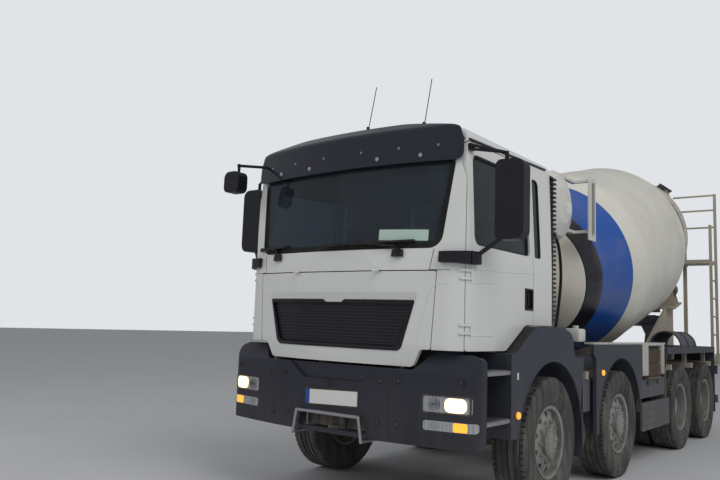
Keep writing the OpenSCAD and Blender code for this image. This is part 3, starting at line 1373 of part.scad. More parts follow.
frame();
towing_fittings();
mixer_subframe();
axles();
engine();
bumper();
lamps();
entry_steps();
step_wells();
front_mudguards();
second_mudguards();
rear_mudguards();
side_panels();
side_boxes();
guards();
wheel_chocks();
water_tank();
drum_drive();
hopper();
discharge_funnel();
ladder();
stored_chute();
cab_shell();
cab_glass();
sun_visor();
dashboard();
seats();
steering_wheel();
wipers();
kerb_mirror();
mirror_fairings();
air_intake();
front_flap();
grille();
grille_strip();
door_left();
door_right();
door_glass_left();
door_glass_right();
mirror_left();
mirror_right();
drum();
roller_left();
roller_right();
chute_swing();
chute_main();
chute_fold();
knuckle(0, 0);  // knuckle_1_left
knuckle(0, 1);  // knuckle_1_right
knuckle(1, 0);  // knuckle_2_left
knuckle(1, 1);  // knuckle_2_right
wheel(0, 0);  // wheel_1_left
wheel(0, 1);  // wheel_1_right
wheel(1, 0);  // wheel_2_left
wheel(1, 1);  // wheel_2_right
twin_wheel(2, 0);  // twin_wheel_3_left
twin_wheel(2, 1);  // twin_wheel_3_right
twin_wheel(3, 0);  // twin_wheel_4_left
twin_wheel(3, 1);  // twin_wheel_4_right
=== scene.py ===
# %% [markdown]
# # A four-axle concrete mixer truck
# The solids of the truck are already built and packed. This notebook dresses them: it gives every piece the
# finish that the real one has, and adds what is too fine for the solids, such as tread, nuts and screws.
# Lengths are metres. +X is forward, +Y is the truck's left side and +Z is up.

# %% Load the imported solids
import bpy
import bmesh
import json
from math import copysign, cos, hypot, pi, radians, sin
from mathutils import Matrix, Vector
from mathutils.bvhtree import BVHTree


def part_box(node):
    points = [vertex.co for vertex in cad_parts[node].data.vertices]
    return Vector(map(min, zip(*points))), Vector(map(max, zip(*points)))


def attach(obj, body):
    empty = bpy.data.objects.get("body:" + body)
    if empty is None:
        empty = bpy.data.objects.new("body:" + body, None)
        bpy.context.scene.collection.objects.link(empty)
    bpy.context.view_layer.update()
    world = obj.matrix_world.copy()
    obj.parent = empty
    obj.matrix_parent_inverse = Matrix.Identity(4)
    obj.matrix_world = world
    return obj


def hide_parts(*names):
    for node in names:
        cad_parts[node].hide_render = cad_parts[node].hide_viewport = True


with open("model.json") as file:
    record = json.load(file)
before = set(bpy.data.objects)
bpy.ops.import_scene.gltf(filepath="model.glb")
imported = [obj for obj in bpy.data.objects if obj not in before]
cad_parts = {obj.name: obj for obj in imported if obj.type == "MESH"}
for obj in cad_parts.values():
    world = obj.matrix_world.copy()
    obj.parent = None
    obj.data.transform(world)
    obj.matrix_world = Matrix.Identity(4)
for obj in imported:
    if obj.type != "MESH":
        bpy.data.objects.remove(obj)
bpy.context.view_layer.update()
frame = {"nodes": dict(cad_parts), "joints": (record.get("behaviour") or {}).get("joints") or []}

# %% The axles, from which every place along the truck is counted
def middle(node):
    """The middle of a solid's box."""
    low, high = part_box(node)
    return (Vector(low) + Vector(high)) / 2


AXLE_X = [middle("wheel_1_left").x, middle("wheel_2_left").x,
          middle("twin_wheel_3_left").x, middle("twin_wheel_4_left").x]
HUB_Z = middle("wheel_1_left").z
print("axles at", [round(x, 3) for x in AXLE_X], "hub height", round(HUB_Z, 3))


def ax(x):
    """A place along the truck, counted forward from the first axle."""
    return AXLE_X[0] + x


def at(x, y, z):
    """A point whose x is counted forward from the first axle."""
    return Vector((ax(x), y, z))


def new_object(name, data):
    """A new object in the scene."""
    made = bpy.data.objects.new(name, data)
    bpy.context.scene.collection.objects.link(made)
    return made


# %% [markdown]
# ## The camera
# The picture was taken from about eye height, near the left front corner, with the camera slightly tilted.
# The camera here stands at the same place, so the truck fills the frame as it does there.

# %% Camera
CAMERA_AT = at(5.8153, 3.6541, 1.4714)
YAW, PITCH, ROLL = radians(217.985), radians(6.774), radians(2.074)
look = Vector((cos(PITCH) * cos(YAW), cos(PITCH) * sin(YAW), sin(PITCH)))
level = look.cross(Vector((0, 0, 1))).normalized()
upward = level.cross(look)
camera_x = cos(ROLL) * level + sin(ROLL) * upward
camera_y = -sin(ROLL) * level + cos(ROLL) * upward
camera = new_object("Camera", bpy.data.cameras.new("Camera"))
facing = Matrix((camera_x, camera_y, -look)).transposed().to_4x4()
camera.matrix_world = Matrix.Translation(CAMERA_AT) @ facing
camera.data.lens = 35.24
camera.data.sensor_width = 36
camera.data.clip_end = 200
bpy.context.scene.camera = camera
print("camera at", [round(v, 3) for v in camera.location])

# %% [markdown]
# ## Colours and shader nodes
# Colours are written as the eye reads them on a screen, in sRGB hex. Blender wants linear values, so one
# function converts them. One more function adds a node with its settings and its links. Every material starts
# from the object's own coordinates, so a pattern stays on its piece when the piece moves.

# %% Helpers for materials
def colour(code):
    """An sRGB hex colour as linear RGBA."""
    parts = [int(code[i:i + 2], 16) / 255 for i in (1, 3, 5)]
    return tuple(c / 12.92 if c <= 0.04045 else ((c + 0.055) / 1.055) ** 2.4 for c in parts) + (1.0,)


def add(tree, kind, inputs, out=0, **settings):
    """Adds one node and returns one of its outputs. inputs maps a socket to a value or to another output.
    A shader's kind is given without the ShaderNode that Blender puts before it."""
    made = tree.nodes.new(kind if "Node" in kind else "ShaderNode" + kind)
    for name, value in settings.items():
        setattr(made, name, value)
    for name, value in inputs.items():
        if isinstance(value, bpy.types.NodeSocket):
            tree.links.new(value, made.inputs[name])
        else:
            made.inputs[name].default_value = value
    return made.outputs[out] if len(made.outputs) else None


def new_material(name):
    """An empty material, its node tree, and the object's own coordinates."""
    material = bpy.data.materials.new(name)
    material.use_nodes = True
    tree = material.node_tree
    tree.nodes.clear()
    return material, tree, add(tree, "TexCoord", {}, "Object")


def patches(tree, place, per_m, low, high, least=0.0, most=1.0, detail=2):
    """A cloudy pattern from least to most: noise below low counts as least, and above high as most."""
    noise = add(tree, "TexNoise", {"Vector": place, "Scale": per_m, "Detail": detail})
    return add(tree, "MapRange", {0: noise, 1: low, 2: high, 3: least, 4: most})


def raised(tree, pattern, strength, distance):
    """The normal of a surface that a pattern raises."""
    return add(tree, "Bump", {"Height": pattern, "Strength": strength, "Distance": distance})


def shaded(tree, share, code):
    """A colour, made darker by a pattern."""
    return add(tree, "HueSaturation", {"Value": share, "Color": colour(code)})


def soiled(tree, share, base, code, full, clean, dull):
    """The colour and roughness under a share of dirt. They go from clean to dull where the share is full."""
    mixed = add(tree, "Mix", {0: share, 6: base, 7: colour(code)}, 2, data_type="RGBA")
    rough = add(tree, "MapRange", {0: share, 1: 0, 2: full, 3: clean, 4: dull})
    return {"Base_Color": mixed, "Roughness": rough}


def close_material(tree, **inputs):
    """Ends a material in one shader. A socket's name is written with _ for its spaces."""
    named = {name.replace("_", " "): value for name, value in inputs.items()}
    shader = add(tree, "BsdfPrincipled", named)
    add(tree, "OutputMaterial", {"Surface": shader})


print("white paint in linear light:", [round(c, 3) for c in colour("#E4E6E2")])

# %% [markdown]
# ## Painted sheet metal and moulded plastic
# Most of the truck has one of two finishes. Paint is smooth and glossy under a clear coat. Moulded plastic is
# matt with a fine grain of bumps. Both carry the dust of a building site: a thin grey film, thickest near the
# ground, drawn down in streaks by rain. Mixing the film in as a second colour, by height and by a cloudy
# pattern, gives both finishes from one recipe. The film is rough where it lies, so it also dulls the gloss.

# %% One recipe for both finishes
DUST = "#8C8478"
BLOTCH_MM, STREAK_MM, SHADE_MM = 420, 60, 900


def coated(name, code, rough=0.35, coat=0.0, dust=0.5, dust_top=1.6, grain_mm=0, grain=0.05, metal=0.0,
           dust_code=DUST, film=0.10, vary=0.06):
    """Paint or plastic with road dust. dust is the film's strength at the ground, dust_top where it ends."""
    material, tree, place = new_material(name)
    height = add(tree, "SeparateXYZ", {0: place}, "Z")
    low = add(tree, "MapRange", {0: height, 1: dust_top, 2: 0.2, 3: 0.0, 4: dust})
    blotch = patches(tree, place, 1000 / BLOTCH_MM, 0.35, 0.70, detail=5)
    drawn = add(tree, "Mapping", {"Vector": place, "Scale": (1, 1, 0.12)})
    streak = patches(tree, drawn, 1000 / STREAK_MM, 0.42, 0.72, detail=3)
    both = add(tree, "Math", {0: blotch, 1: streak}, operation="ADD")
    both = add(tree, "MapRange", {0: both, 1: 0.0, 2: 1.3, 3: 0.25, 4: 1.0})
    high = add(tree, "Math", {0: streak, 1: film}, operation="MULTIPLY")
    cover = add(tree, "Math", {0: low, 1: both, 2: high}, operation="MULTIPLY_ADD", use_clamp=True)
    shade = patches(tree, place, 1000 / SHADE_MM, 0.3, 0.7, 1 - vary)
    inputs = soiled(tree, cover, shaded(tree, shade, code), dust_code, 0.7, rough, 0.85)
    if grain_mm:
        bumps = add(tree, "TexNoise", {"Vector": place, "Scale": 1000 / grain_mm})
        inputs["Normal"] = raised(tree, bumps, grain, 0.002)
    close_material(tree, Metallic=metal, Coat_Weight=coat, Coat_Roughness=0.06, **inputs)
    return material


# %% Two-pack paint, sprayed and clear-coated: smooth and glossy
cab_white = coated("Two_pack_paint_cab_white", "#DDDFDB", 0.28, 0.6, dust=0.08, dust_top=1.9, film=0.0,
                   vary=0.03)
tank_white = coated("Two_pack_paint_tank_white", "#DCDCD4", 0.38, 0.3, dust=0.5, dust_top=3.6, film=0.12)
side_white = coated("Two_pack_paint_panel_white", "#CFCFC6", 0.45, 0.2, dust=0.9, dust_top=2.2, film=0.2)

# %% Chassis paint: one thick coat, satin at best, and dusty
chassis_black = coated("Chassis_paint_black", "#25262A", 0.55, dust=0.75, dust_top=1.5, film=0.3)
grey_paint = coated("Chassis_paint_grey", "#4A4D56", 0.5, dust=0.35, dust_top=1.5, film=0.12)
beige_paint = coated("Chassis_paint_beige", "#B3AA99", 0.6, dust=0.35, dust_top=2.0, film=0.25)
hopper_paint = coated("Chassis_paint_hopper", "#3A3A40", 0.6, dust=0.5, dust_top=4.5, film=0.5)
cast_black = coated("Cast_iron_painted_black", "#222120", 0.8, dust=0.9, dust_top=1.4, film=0.4, grain_mm=9,
                    grain=0.3)

# %% Moulded plastic: a fine grain from the mould, matt where dust sits in it
slate_plastic = coated("Polypropylene_slate", "#262834", 0.5, dust=0.14, dust_top=1.2, grain_mm=6, grain=0.10,
                       film=0.0)
fender_plastic = coated("Polypropylene_blue_grey", "#343945", 0.50, dust=0.20, dust_top=1.5, grain_mm=6,
                        grain=0.10, film=0.01)
mirror_plastic = coated("ABS_mirror_black", "#15161D", 0.45, dust=0.0, grain_mm=5, grain=0.08,
                        film=0.0)
black_plastic = coated("ABS_trim_black", "#15151A", 0.45, dust=0.4, dust_top=1.8, grain_mm=5, grain=0.1)
grille_plastic = coated("ABS_grille_black", "#0E0F13", 0.45, dust=0.04, dust_top=1.9, film=0.0)
visor_plastic = coated("Acrylic_visor_smoked", "#171A2A", 0.22, 0.3, dust=0.0, film=0.0)
chock_plastic = coated("Polyethylene_chock_brown", "#4A3524", 0.7, dust=0.6, dust_top=2.0, film=0.3,
                       grain_mm=8)
white_plastic = coated("Polyethylene_white", "#D9D9D4", 0.5, dust=0.3, dust_top=2.5, film=0.15)

# %% Rubber, cloth and bare metal
rubber_black = coated("Tyre_rubber", "#343434", 0.85, dust=0.55, dust_top=1.9, dust_code="#77736D", film=0.30,
                      grain_mm=14, grain=0.2)
seal_rubber = coated("Window_seal_rubber", "#101013", 0.6, dust=0.1, dust_top=2.5, film=0.05, grain_mm=4)
funnel_rubber = coated("Funnel_rubber_sheet", "#18181A", 0.75, dust=0.4, dust_top=3.5, film=0.35, grain_mm=12)
seat_cloth = coated("Woven_seat_cloth", "#34363C", 0.95, dust=0.0, film=0.0, grain_mm=3, grain=0.5)
worn_steel = coated("Mild_steel_worn", "#8A8A88", 0.42, dust=0.5, dust_top=1.5, film=0.25, metal=0.85)
bright_trim = coated("Aluminium_brushed", "#B9BBC0", 0.22, dust=0.0, film=0.03, metal=1.0)
chrome_strip = coated("Chrome_plate", "#FFFFFF", 0.10, dust=0.0, film=0.0, metal=1.0)
tread_metal = coated("Aluminium_tread_plate", "#B4B6BA", 0.35, dust=0.15, dust_top=1.6, film=0.08, metal=0.9)
plate_white = coated("Plate_enamel_white", "#E6E6E2", 0.35, dust=0.05, film=0.0)
plate_blue = coated("Plate_enamel_blue", "#2447A8", 0.35, dust=0.05, film=0.02)
sign_white = coated("Card_pale_green", "#B9CFC6", 0.7, dust=0.0, film=0.0)
mirror_silver = coated("Mirror_glass_silvered", "#C9CED2", 0.04, dust=0.0, film=0.03, metal=1.0)
rim_silver = coated("Wheel_paint_silver", "#B4B3B0", 0.40, dust=0.45, dust_top=1.6, dust_code="#7A736A",
                    film=0.25, metal=0.6)
print("finishes:", len(bpy.data.materials))

# %% [markdown]
# ## Glass
# The windows are thin tinted sheets of safety glass. A thin sheet hardly bends light, so the index is kept
# near that of air, which also keeps the cab's inside easy to see. A faint ripple breaks up its reflection.

# %% Window glass
RIPPLE_MM = 600


def glass(name, tint, clear):
    """Thin window glass. clear is the share of light that passes."""
    material, tree, place = new_material(name)
    ripple = add(tree, "TexNoise", {"Vector": place, "Scale": 1000 / RIPPLE_MM})
    close_material(tree, Base_Color=colour(tint), Roughness=0.03, Transmission_Weight=clear, IOR=1.12,
                   Coat_Weight=0.5, Normal=raised(tree, ripple, 0.04, 0.01))
    return material


window_glass = glass("Safety_glass_tinted", "#5E6B76", 0.88)
print("glass ready")

# %% [markdown]
# ## The drum's paint
# The drum is sprayed white. Two bands run round its front cone: a narrow black one and a wide blue one. They
# follow the drum's own axis, so the material measures each point along that axis, and picks the colour there.
# Cement dust lies on the drum, most of all near the mouth, where slurry runs down.

# %% Drum paint
drum_joint = next(j for j in frame["joints"] if j["name"] == "drum_spin")
DRUM_AT = Vector(drum_joint["pos_m"])
DRUM_AXIS = Vector(drum_joint["axis"]).normalized()
BAND_FROM, BAND_TO = -1.0, 5.0
BANDS = [(BAND_FROM, "#DCD8CC"), (0.10, "#1B1B26"), (0.33, "#1F55A8"), (0.76, "#DEDBD0"), (4.7, "#A8A296")]
RUNS_FROM, RUNS_TO = 3.2, 4.9


def drum_material():
    """White paint with its bands along the drum's axis, and cement dust that thickens toward the mouth."""
    material, tree, place = new_material("Two_pack_paint_drum_bands")
    offset = add(tree, "VectorMath", {0: place, 1: tuple(DRUM_AT)}, operation="SUBTRACT")
    along = add(tree, "VectorMath", {0: offset, 1: tuple(DRUM_AXIS)}, "Value",
                operation="DOT_PRODUCT")
    place_on = add(tree, "MapRange", {0: along, 1: BAND_FROM, 2: BAND_TO})
    bands = add(tree, "ValToRGB", {0: place_on})
    steps = bands.node.color_ramp
    steps.interpolation = "CONSTANT"
    for i, (where, code) in enumerate(BANDS):
        position = (where - BAND_FROM) / (BAND_TO - BAND_FROM)
        step = steps.elements[i] if i < 2 else steps.elements.new(position)
        step.position, step.color = position, colour(code)
    dirt = patches(tree, place, 2, 0.42, 0.75, 0, 0.30, detail=6)
    rear = add(tree, "MapRange", {0: along, 1: RUNS_FROM, 2: RUNS_TO, 3: 0, 4: 0.75})
    drawn = add(tree, "Mapping", {"Vector": place, "Scale": (0.25, 1, 1)})
    runs = patches(tree, drawn, 9, 0.40, 0.66, detail=4)
    film = add(tree, "Math", {0: rear, 1: runs, 2: dirt}, operation="MULTIPLY_ADD", use_clamp=True)
    close_material(tree, Coat_Weight=0.35, Coat_Roughness=0.12,
                   **soiled(tree, film, bands, "#9A9184", 0.6, 0.32, 0.9))
    return material


drum_paint = drum_material()
print("drum axis", [round(v, 3) for v in DRUM_AXIS])

# %% [markdown]
# ## Lamps
# The lenses are clear polycarbonate over ribbed reflectors. A lens is made here as a glowing or plain
# plastic, with fine upright ribs that break up what it mirrors. Its colour is painted darker in the grooves
# between the ribs: painted shade.

# %% Lamp lenses
RIBS_PER_M, WAVES_PER_UNIT = 70, 6


def lens(name, tint, glow=0.0, glow_tint="#FFFFFF", metal=0.0):
    """A ribbed lens, with painted shade in the grooves between its ribs. glow is the light that it gives off.
    """
    material, tree, place = new_material(name)
    waves = {"Vector": place, "Scale": RIBS_PER_M / WAVES_PER_UNIT, "Distortion": 0.3}
    ribs = add(tree, "TexWave", waves, "Fac", bands_direction="Y")
    # Painted shade: the lens colour drops to three quarters in the grooves between the ribs.
    depth = add(tree, "MapRange", {0: ribs, 3: 0.75, 4: 1.0})
    close_material(tree, Base_Color=shaded(tree, depth, tint), Roughness=0.10, Metallic=metal,
                   Coat_Weight=0.8, Emission_Color=colour(glow_tint), Emission_Strength=glow,
                   Normal=raised(tree, ribs, 0.15, 0.002))
    return material


lens_clear = lens("Polycarbonate_lens_clear", "#B9BCBE", metal=0.6)
lens_amber = lens("Polycarbonate_lens_amber", "#D9791B")
lens_red = lens("Polycarbonate_lens_red", "#8E1410")
lens_lit = lens("Polycarbonate_lens_lit_warm", "#E9DFC6", 2.2, "#FFD9A0")
lens_amber_lit = lens("Polycarbonate_lens_lit_amber", "#E58A1F", 1.6, "#FF9A2A")
print("lenses ready")

# %% [markdown]
# ## Give the solids their finishes
# A solid whose shape is right stays as it is and only gets a finish. A short table says which one goes where.

# %% Finish table
FINISHES = (
    (chassis_black, "frame drum_drive"), (beige_paint, "mixer_subframe ladder"),
    (cast_black, "axles engine towing_fittings"), (slate_plastic, "bumper"), (lens_clear, "lamps"),
    (fender_plastic, "step_wells second_mudguards front_mudguards rear_mudguards"),
    (tread_metal, "entry_steps"), (side_white, "side_panels"), (chock_plastic, "wheel_chocks"),
    (grey_paint, "side_boxes guards stored_chute chute_swing chute_main chute_fold"),
    (tank_white, "water_tank"), (hopper_paint, "hopper"), (funnel_rubber, "discharge_funnel"),
    (cab_white, "cab_shell front_flap door_left door_right"),
    (window_glass, "cab_glass door_glass_left door_glass_right"), (visor_plastic, "sun_visor"),
    (black_plastic, "dashboard steering_wheel wipers air_intake"), (seat_cloth, "seats"),
    (mirror_plastic, "kerb_mirror mirror_fairings mirror_left mirror_right"),
    (grille_plastic, "grille"), (chrome_strip, "grille_strip"), (drum_paint, "drum"),
    (worn_steel, "roller_left roller_right"))
FINISH = {node: finish for finish, nodes in FINISHES for node in nodes.split()}
for name, node in frame["nodes"].items():
    for material_slot in node.material_slots:
        material_slot.material = FINISH.get(name, cast_black)
print("finished", len(FINISH), "solids by name, and the wheels and knuckles as castings")

# %% [markdown]
# ## Floor and light
# An overcast sky gives soft light from everywhere. The world lights the scene evenly, two large lamps, one
# above the camera's side and one in front, give the forms a gentle direction, and a floor takes the shadow.
# What the camera sees of the sky is brighter than what lights the truck, so the background stays pale.

# %% Studio
world = bpy.data.worlds.new("Studio")
bpy.context.scene.world = world
world.use_nodes = True
sky = world.node_tree
sky.nodes.clear()
camera_ray = add(sky, "LightPath", {}, "Is Camera Ray")
through_glass = camera_ray.node.outputs["Is Transmission Ray"]
seen = add(sky, "Math", {0: camera_ray, 1: through_glass}, operation="MAXIMUM")
soft = add(sky, "Background", {"Color": colour("#E7E9EC"), "Strength": 0.44})
plain = add(sky, "Background", {"Color": colour("#E9ECF0"), "Strength": 0.92})
add(sky, "OutputWorld", {"Surface": add(sky, "MixShader", {0: seen, 1: soft, 2: plain})})


def area_lamp(name, where, target, size, watts):
    """A square lamp that points at a target and isn't mirrored in the paint."""
    lamp = new_object(name, bpy.data.lights.new(name, "AREA"))
    lamp.data.size = size
    lamp.data.energy = watts
    lamp.location = where
    lamp.rotation_euler = (Vector(target) - Vector(where)).to_track_quat("-Z", "Y").to_euler()
    lamp.visible_glossy = False


area_lamp("Sky_lamp", (6, 9, 11), (0, 0, 1.5), 9, 780)
area_lamp("Front_lamp", (13, -4, 7), (3, 0, 1.5), 7, 230)

FLOOR = 60
floor_mesh = bpy.data.meshes.new("Floor")
floor_corners = [(-FLOOR, -FLOOR, 0), (FLOOR, -FLOOR, 0), (FLOOR, FLOOR, 0), (-FLOOR, FLOOR, 0)]
floor_mesh.from_pydata(floor_corners, [], [(0, 1, 2, 3)])
floor = new_object("Floor", floor_mesh)
floor_material, floor_tree, floor_place = new_material("Concrete_floor_pale")
mottle = patches(floor_tree, floor_place, 0.8, 0.3, 0.7, 0.96, detail=4)
close_material(floor_tree, Roughness=0.9, Base_Color=shaded(floor_tree, mottle, "#C9CACC"))
floor_mesh.materials.append(floor_material)
bpy.context.scene.view_settings.view_transform = "Standard"
print("studio ready")

# %% [markdown]
# ## Tools for small pieces
# Four ways of making a mesh cover almost all the detail: a lathe for what is round, a prism for what is cut
# from plate, a tube for bars and hoses, and a thin sheet that is laid on a curved surface. Each finished
# piece is handed to the body that it moves with.

# %% A lathe and a prism
WELD_GAP = 1e-5


def plain_mesh(bm, name):
    """Ends a bmesh as a mesh."""
    mesh = bpy.data.meshes.new(name)
    bm.to_mesh(mesh)
    bm.free()
    return mesh


def mesh_of(bm, name):
    """Ends a bmesh as a mesh, with its doubled points joined and its faces turned outward."""
    bmesh.ops.remove_doubles(bm, verts=bm.verts, dist=WELD_GAP)
    bmesh.ops.recalc_face_normals(bm, faces=bm.faces)
    return plain_mesh(bm, name)


def full_turn(steps):
    """The angles of a circle cut into equal steps."""
    return [2 * pi * i / steps for i in range(steps)]


def skin(bm, rings, closed=True):
    """Faces between each ring of points and the next, and from the last back to the first where closed."""
    for a, b in zip(rings, rings[1:] + rings[:1] if closed else rings[1:]):
        for k in range(len(a)):
            m = (k + 1) % len(a)
            bm.faces.new((a[k], a[m], b[m], b[k]))


def lathe(profile, steps=96):
    """Turns a closed section of (radius, y) points round the Y axis."""
    bm = bmesh.new()
    turns = full_turn(steps)
    skin(bm, [[bm.verts.new((r * sin(t), y, r * cos(t))) for r, y in profile] for t in turns])
    return mesh_of(bm, "lathe")


def prism(outline, depth, bevel=0.0):
    """A plate: an outline in X and Y, from z = 0 up to depth, with rounded edges."""
    bm = bmesh.new()
    low = [bm.verts.new((x, y, 0)) for x, y in outline]
    high = [bm.verts.new((x, y, depth)) for x, y in outline]
    bm.faces.new(low[::-1])
    bm.faces.new(high)
    for i in range(len(outline)):
        k = (i + 1) % len(outline)
        bm.faces.new((low[i], low[k], high[k], high[i]))
    if bevel:
        bmesh.ops.bevel(bm, geom=bm.edges[:], offset=bevel, segments=2, affect="EDGES", profile=0.5)
    return mesh_of(bm, "prism")


def rectangle(u, v):
    """The corners of a rectangle, given as (from, to) along each axis."""
    return [(u[0], v[0]), (u[1], v[0]), (u[1], v[1]), (u[0], v[1])]


def block(x, y, z, bevel=0.003):
    """A block with softened edges, given as (from, to) along each axis."""
    mesh = prism(rectangle(x, y), z[1] - z[0], bevel)
    mesh.transform(Matrix.Translation((0, 0, z[0])))
    return mesh


def disc(radius, depth, bevel=0.0, sides=32):
    """A round plate that stands on z = 0."""
    return prism([(radius * cos(t), radius * sin(t)) for t in full_turn(sides)], depth, bevel)


print("a bevelled block has", len(block((0, 1), (0, 1), (0, 1)).polygons), "faces")


# %% Bars, hoses and rounded outlines
def tube(points, radius, sides=12):
    """A round bar along a row of points, with closed ends."""
    bm = bmesh.new()
    points = [Vector(p) for p in points]
    rings = []
    side = None
    for i, p in enumerate(points):
        ahead = (points[min(i + 1, len(points) - 1)] - points[max(i - 1, 0)]).normalized()
        side = ahead.orthogonal() if side is None else side - ahead * side.dot(ahead)
        side = side.normalized()
        other = ahead.cross(side)
        rings.append([bm.verts.new(p + radius * (cos(t) * side + sin(t) * other))
                      for t in full_turn(sides)])
    skin(bm, rings, closed=False)
    bm.faces.new(rings[0][::-1])
    bm.faces.new(rings[-1])
    return mesh_of(bm, "tube")


def curved(points, steps=6):
    """A smooth path through a few points."""
    points = [Vector(p) for p in points]
    path = []
    for i in range(len(points) - 1):
        a, b = points[i], points[i + 1]
        before, after = points[max(i - 1, 0)], points[min(i + 2, len(points) - 1)]
        for k in range(steps):
            t = k / steps
            path.append(0.5 * (2 * a + (b - before) * t + (2 * before - 5 * a + 4 * b - after) * t * t
                               + (3 * a - before - 3 * b + after) * t ** 3))
    return path + [points[-1]]


def rounded(corners, radius, steps=5):
    """Rounds the corners of an outline. radius is one number, or one for each corner."""
    out = []
    for i, corner in enumerate(corners):
        p, a, b = Vector(corner[:2]), Vector(corners[i - 1][:2]), Vector(corners[(i + 1) % len(corners)][:2])
        r = min(radius[i] if isinstance(radius, (list, tuple)) else radius, (a - p).length * 0.45,
                (b - p).length * 0.45)
        start, end = p + (a - p).normalized() * r, p + (b - p).normalized() * r
        for k in range(steps + 1):
            t = k / steps
            out.append(tuple((1 - t) ** 2 * start + 2 * t * (1 - t) * p + t * t * end))
    return out


print("a curve through 3 points has", len(curved([(0, 0, 0), (1, 0, 0), (1, 1, 0)])), "points")

# %% [markdown]
# Many details lie on the cab's curved front or on the bumper. A ray shot at the solid from outside finds its
# surface, so a sheet or a seal can be drawn flat, as it looks from the front or the side, and then laid on.

# %% Sheets and paths laid on a surface
VIEW = {"front": (1, 2, 0, -1), "rear": (1, 2, 0, 1), "left": (0, 2, 1, -1), "right": (0, 2, 1, 1),
        "top": (0, 1, 2, -1)}
FAR = 20
SEAL_STEP = 0.05


def surface_of(*nodes):
    """The outside of some solids, ready for rays."""
    bm = bmesh.new()
    for node in nodes:
        bm.from_mesh(frame["nodes"][node].data)
    found = BVHTree.FromBMesh(bm)
    bm.free()
    return found


def lay(point, surface, view, lift=0.0):
    """The place on a surface of a point that is given in the two axes of a view."""
    first, second, depth, sign = VIEW[view]
    start, ray = Vector((0, 0, 0)), Vector((0, 0, 0))
    start[first], start[second], start[depth] = point[0], point[1], -sign * FAR
    ray[depth] = sign
    hit = surface.ray_cast(start, ray)[0]
    if hit is None:
        raise ValueError(f"no surface at {point} from the {view}")
    return hit - ray * lift


def sheet(outline, surface, view, thick=0.002, step=0.06, sunk=0.001, hole=None):
    """A thin sheet with an outline, cut into small fields so that it follows the surface."""
    bm = bmesh.new()
    if hole:
        rings = [[bm.verts.new((u, v, 0)) for u, v in ring] for ring in (outline, hole)]
        for i in range(len(outline)):
            k = (i + 1) % len(outline)
            bm.faces.new((rings[0][i], rings[0][k], rings[1][k], rings[1][i]))
    else:
        bm.faces.new([bm.verts.new((u, v, 0)) for u, v in outline])
    for axis, normal in ((0, (1, 0, 0)), (1, (0, 1, 0))):
        low, high = min(p[axis] for p in outline), max(p[axis] for p in outline)
        cuts = int((high - low) / step)
        for k in range(1, cuts + 1):
            where = low + (high - low) * k / (cuts + 1)
            bmesh.ops.bisect_plane(bm, geom=bm.verts[:] + bm.edges[:] + bm.faces[:],
                                   plane_co=(where, 0, 0) if axis == 0 else (0, where, 0), plane_no=normal)
    bmesh.ops.triangulate(bm, faces=bm.faces[:])
    flat = bm.verts[:]
    raised = bmesh.ops.extrude_face_region(bm, geom=bm.faces[:])["geom"]
    raised = {v for v in raised if isinstance(v, bmesh.types.BMVert)}
    places = {v: lay(v.co, surface, view, thick if v in raised else -sunk) for v in list(raised) + flat}
    for v, place in places.items():
        v.co = place
    return mesh_of(bm, "sheet")


def seal(path, radius, surface, view, lift=0.0, closed=True, sides=8):
    """A rubber bead or a seam that follows a path on a surface."""
    path = [Vector(p) for p in path]
    dense = []
    for i in range(len(path) if closed else len(path) - 1):
        a, b = path[i], path[(i + 1) % len(path)]
        cuts = max(1, int((b - a).length / SEAL_STEP))
        dense += [a.lerp(b, k / cuts) for k in range(cuts)]
    dense += [path[0] if closed else path[-1]]
    return tube([lay(p, surface, view, lift) for p in dense], radius, sides)


cab_surface = surface_of("cab_shell", "front_flap", "door_left", "door_right", "cab_glass", "door_glass_left",
                         "door_glass_right", "grille", "grille_strip")
bumper_surface = surface_of("bumper", "lamps")
print("cab front at", [round(v, 3) for v in lay((0, 2.0), cab_surface, "front")])


# %% Copies, and handing a piece to its body
MIRROR_Y = Matrix.Scale(-1, 4, (0, 1, 0))
LIE_DOWN = Matrix.Rotation(radians(90), 4, "X")
FACE_LEFT = Matrix.Rotation(radians(-90), 4, "X")
FACE_FRONT = Matrix.Rotation(radians(90), 4, "Y")
added = []


def moved(mesh, matrix):
    """A copy of a mesh in another place."""
    copy = mesh.copy()
    copy.transform(matrix)
    if matrix.determinant() < 0:
        copy.flip_normals()
    return copy


def set_on(mesh, place, turn):
    """A copy of a mesh, turned, with its origin at a place."""
    return moved(mesh, Matrix.Translation(place) @ turn)


def joined(*meshes):
    """Several meshes as one."""
    bm = bmesh.new()
    for mesh in meshes:
        bm.from_mesh(mesh)
    return plain_mesh(bm, "joined")


def both_sides(*meshes):
    """Meshes and their mirror images on the truck's other side."""
    one = joined(*meshes)
    return joined(one, moved(one, MIRROR_Y))


def piece(name, mesh, body, material, replaces=(), angle=35):
    """Puts a finished mesh on the body that it moves with. Edges sharper than angle stay hard."""
    bm = bmesh.new()
    bm.from_mesh(mesh)
    for face in bm.faces:
        face.smooth = True
    for edge in bm.edges:
        edge.smooth = len(edge.link_faces) == 2 and edge.calc_face_angle(0) < radians(angle)
    bm.to_mesh(mesh)
    bm.free()
    mesh.name = name
    mesh.materials.clear()
    mesh.materials.append(material)
    made = new_object(name, mesh)
    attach(made, body)
    if replaces:
        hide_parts(*replaces)
    added.append(sum(len(p.vertices) - 2 for p in mesh.polygons))
    print(f"{name}: on {body}, {added[-1]} triangles")
    return made


# %% [markdown]
# ## Rows and rings
# Nuts, tread blocks and ribs are one small shape repeated. Geometry Nodes do that well: the tree takes the
# shape, how many, and where, so a change is one number. The copies are made real and get their finish inside
# the tree, and the result is then turned into a plain mesh.

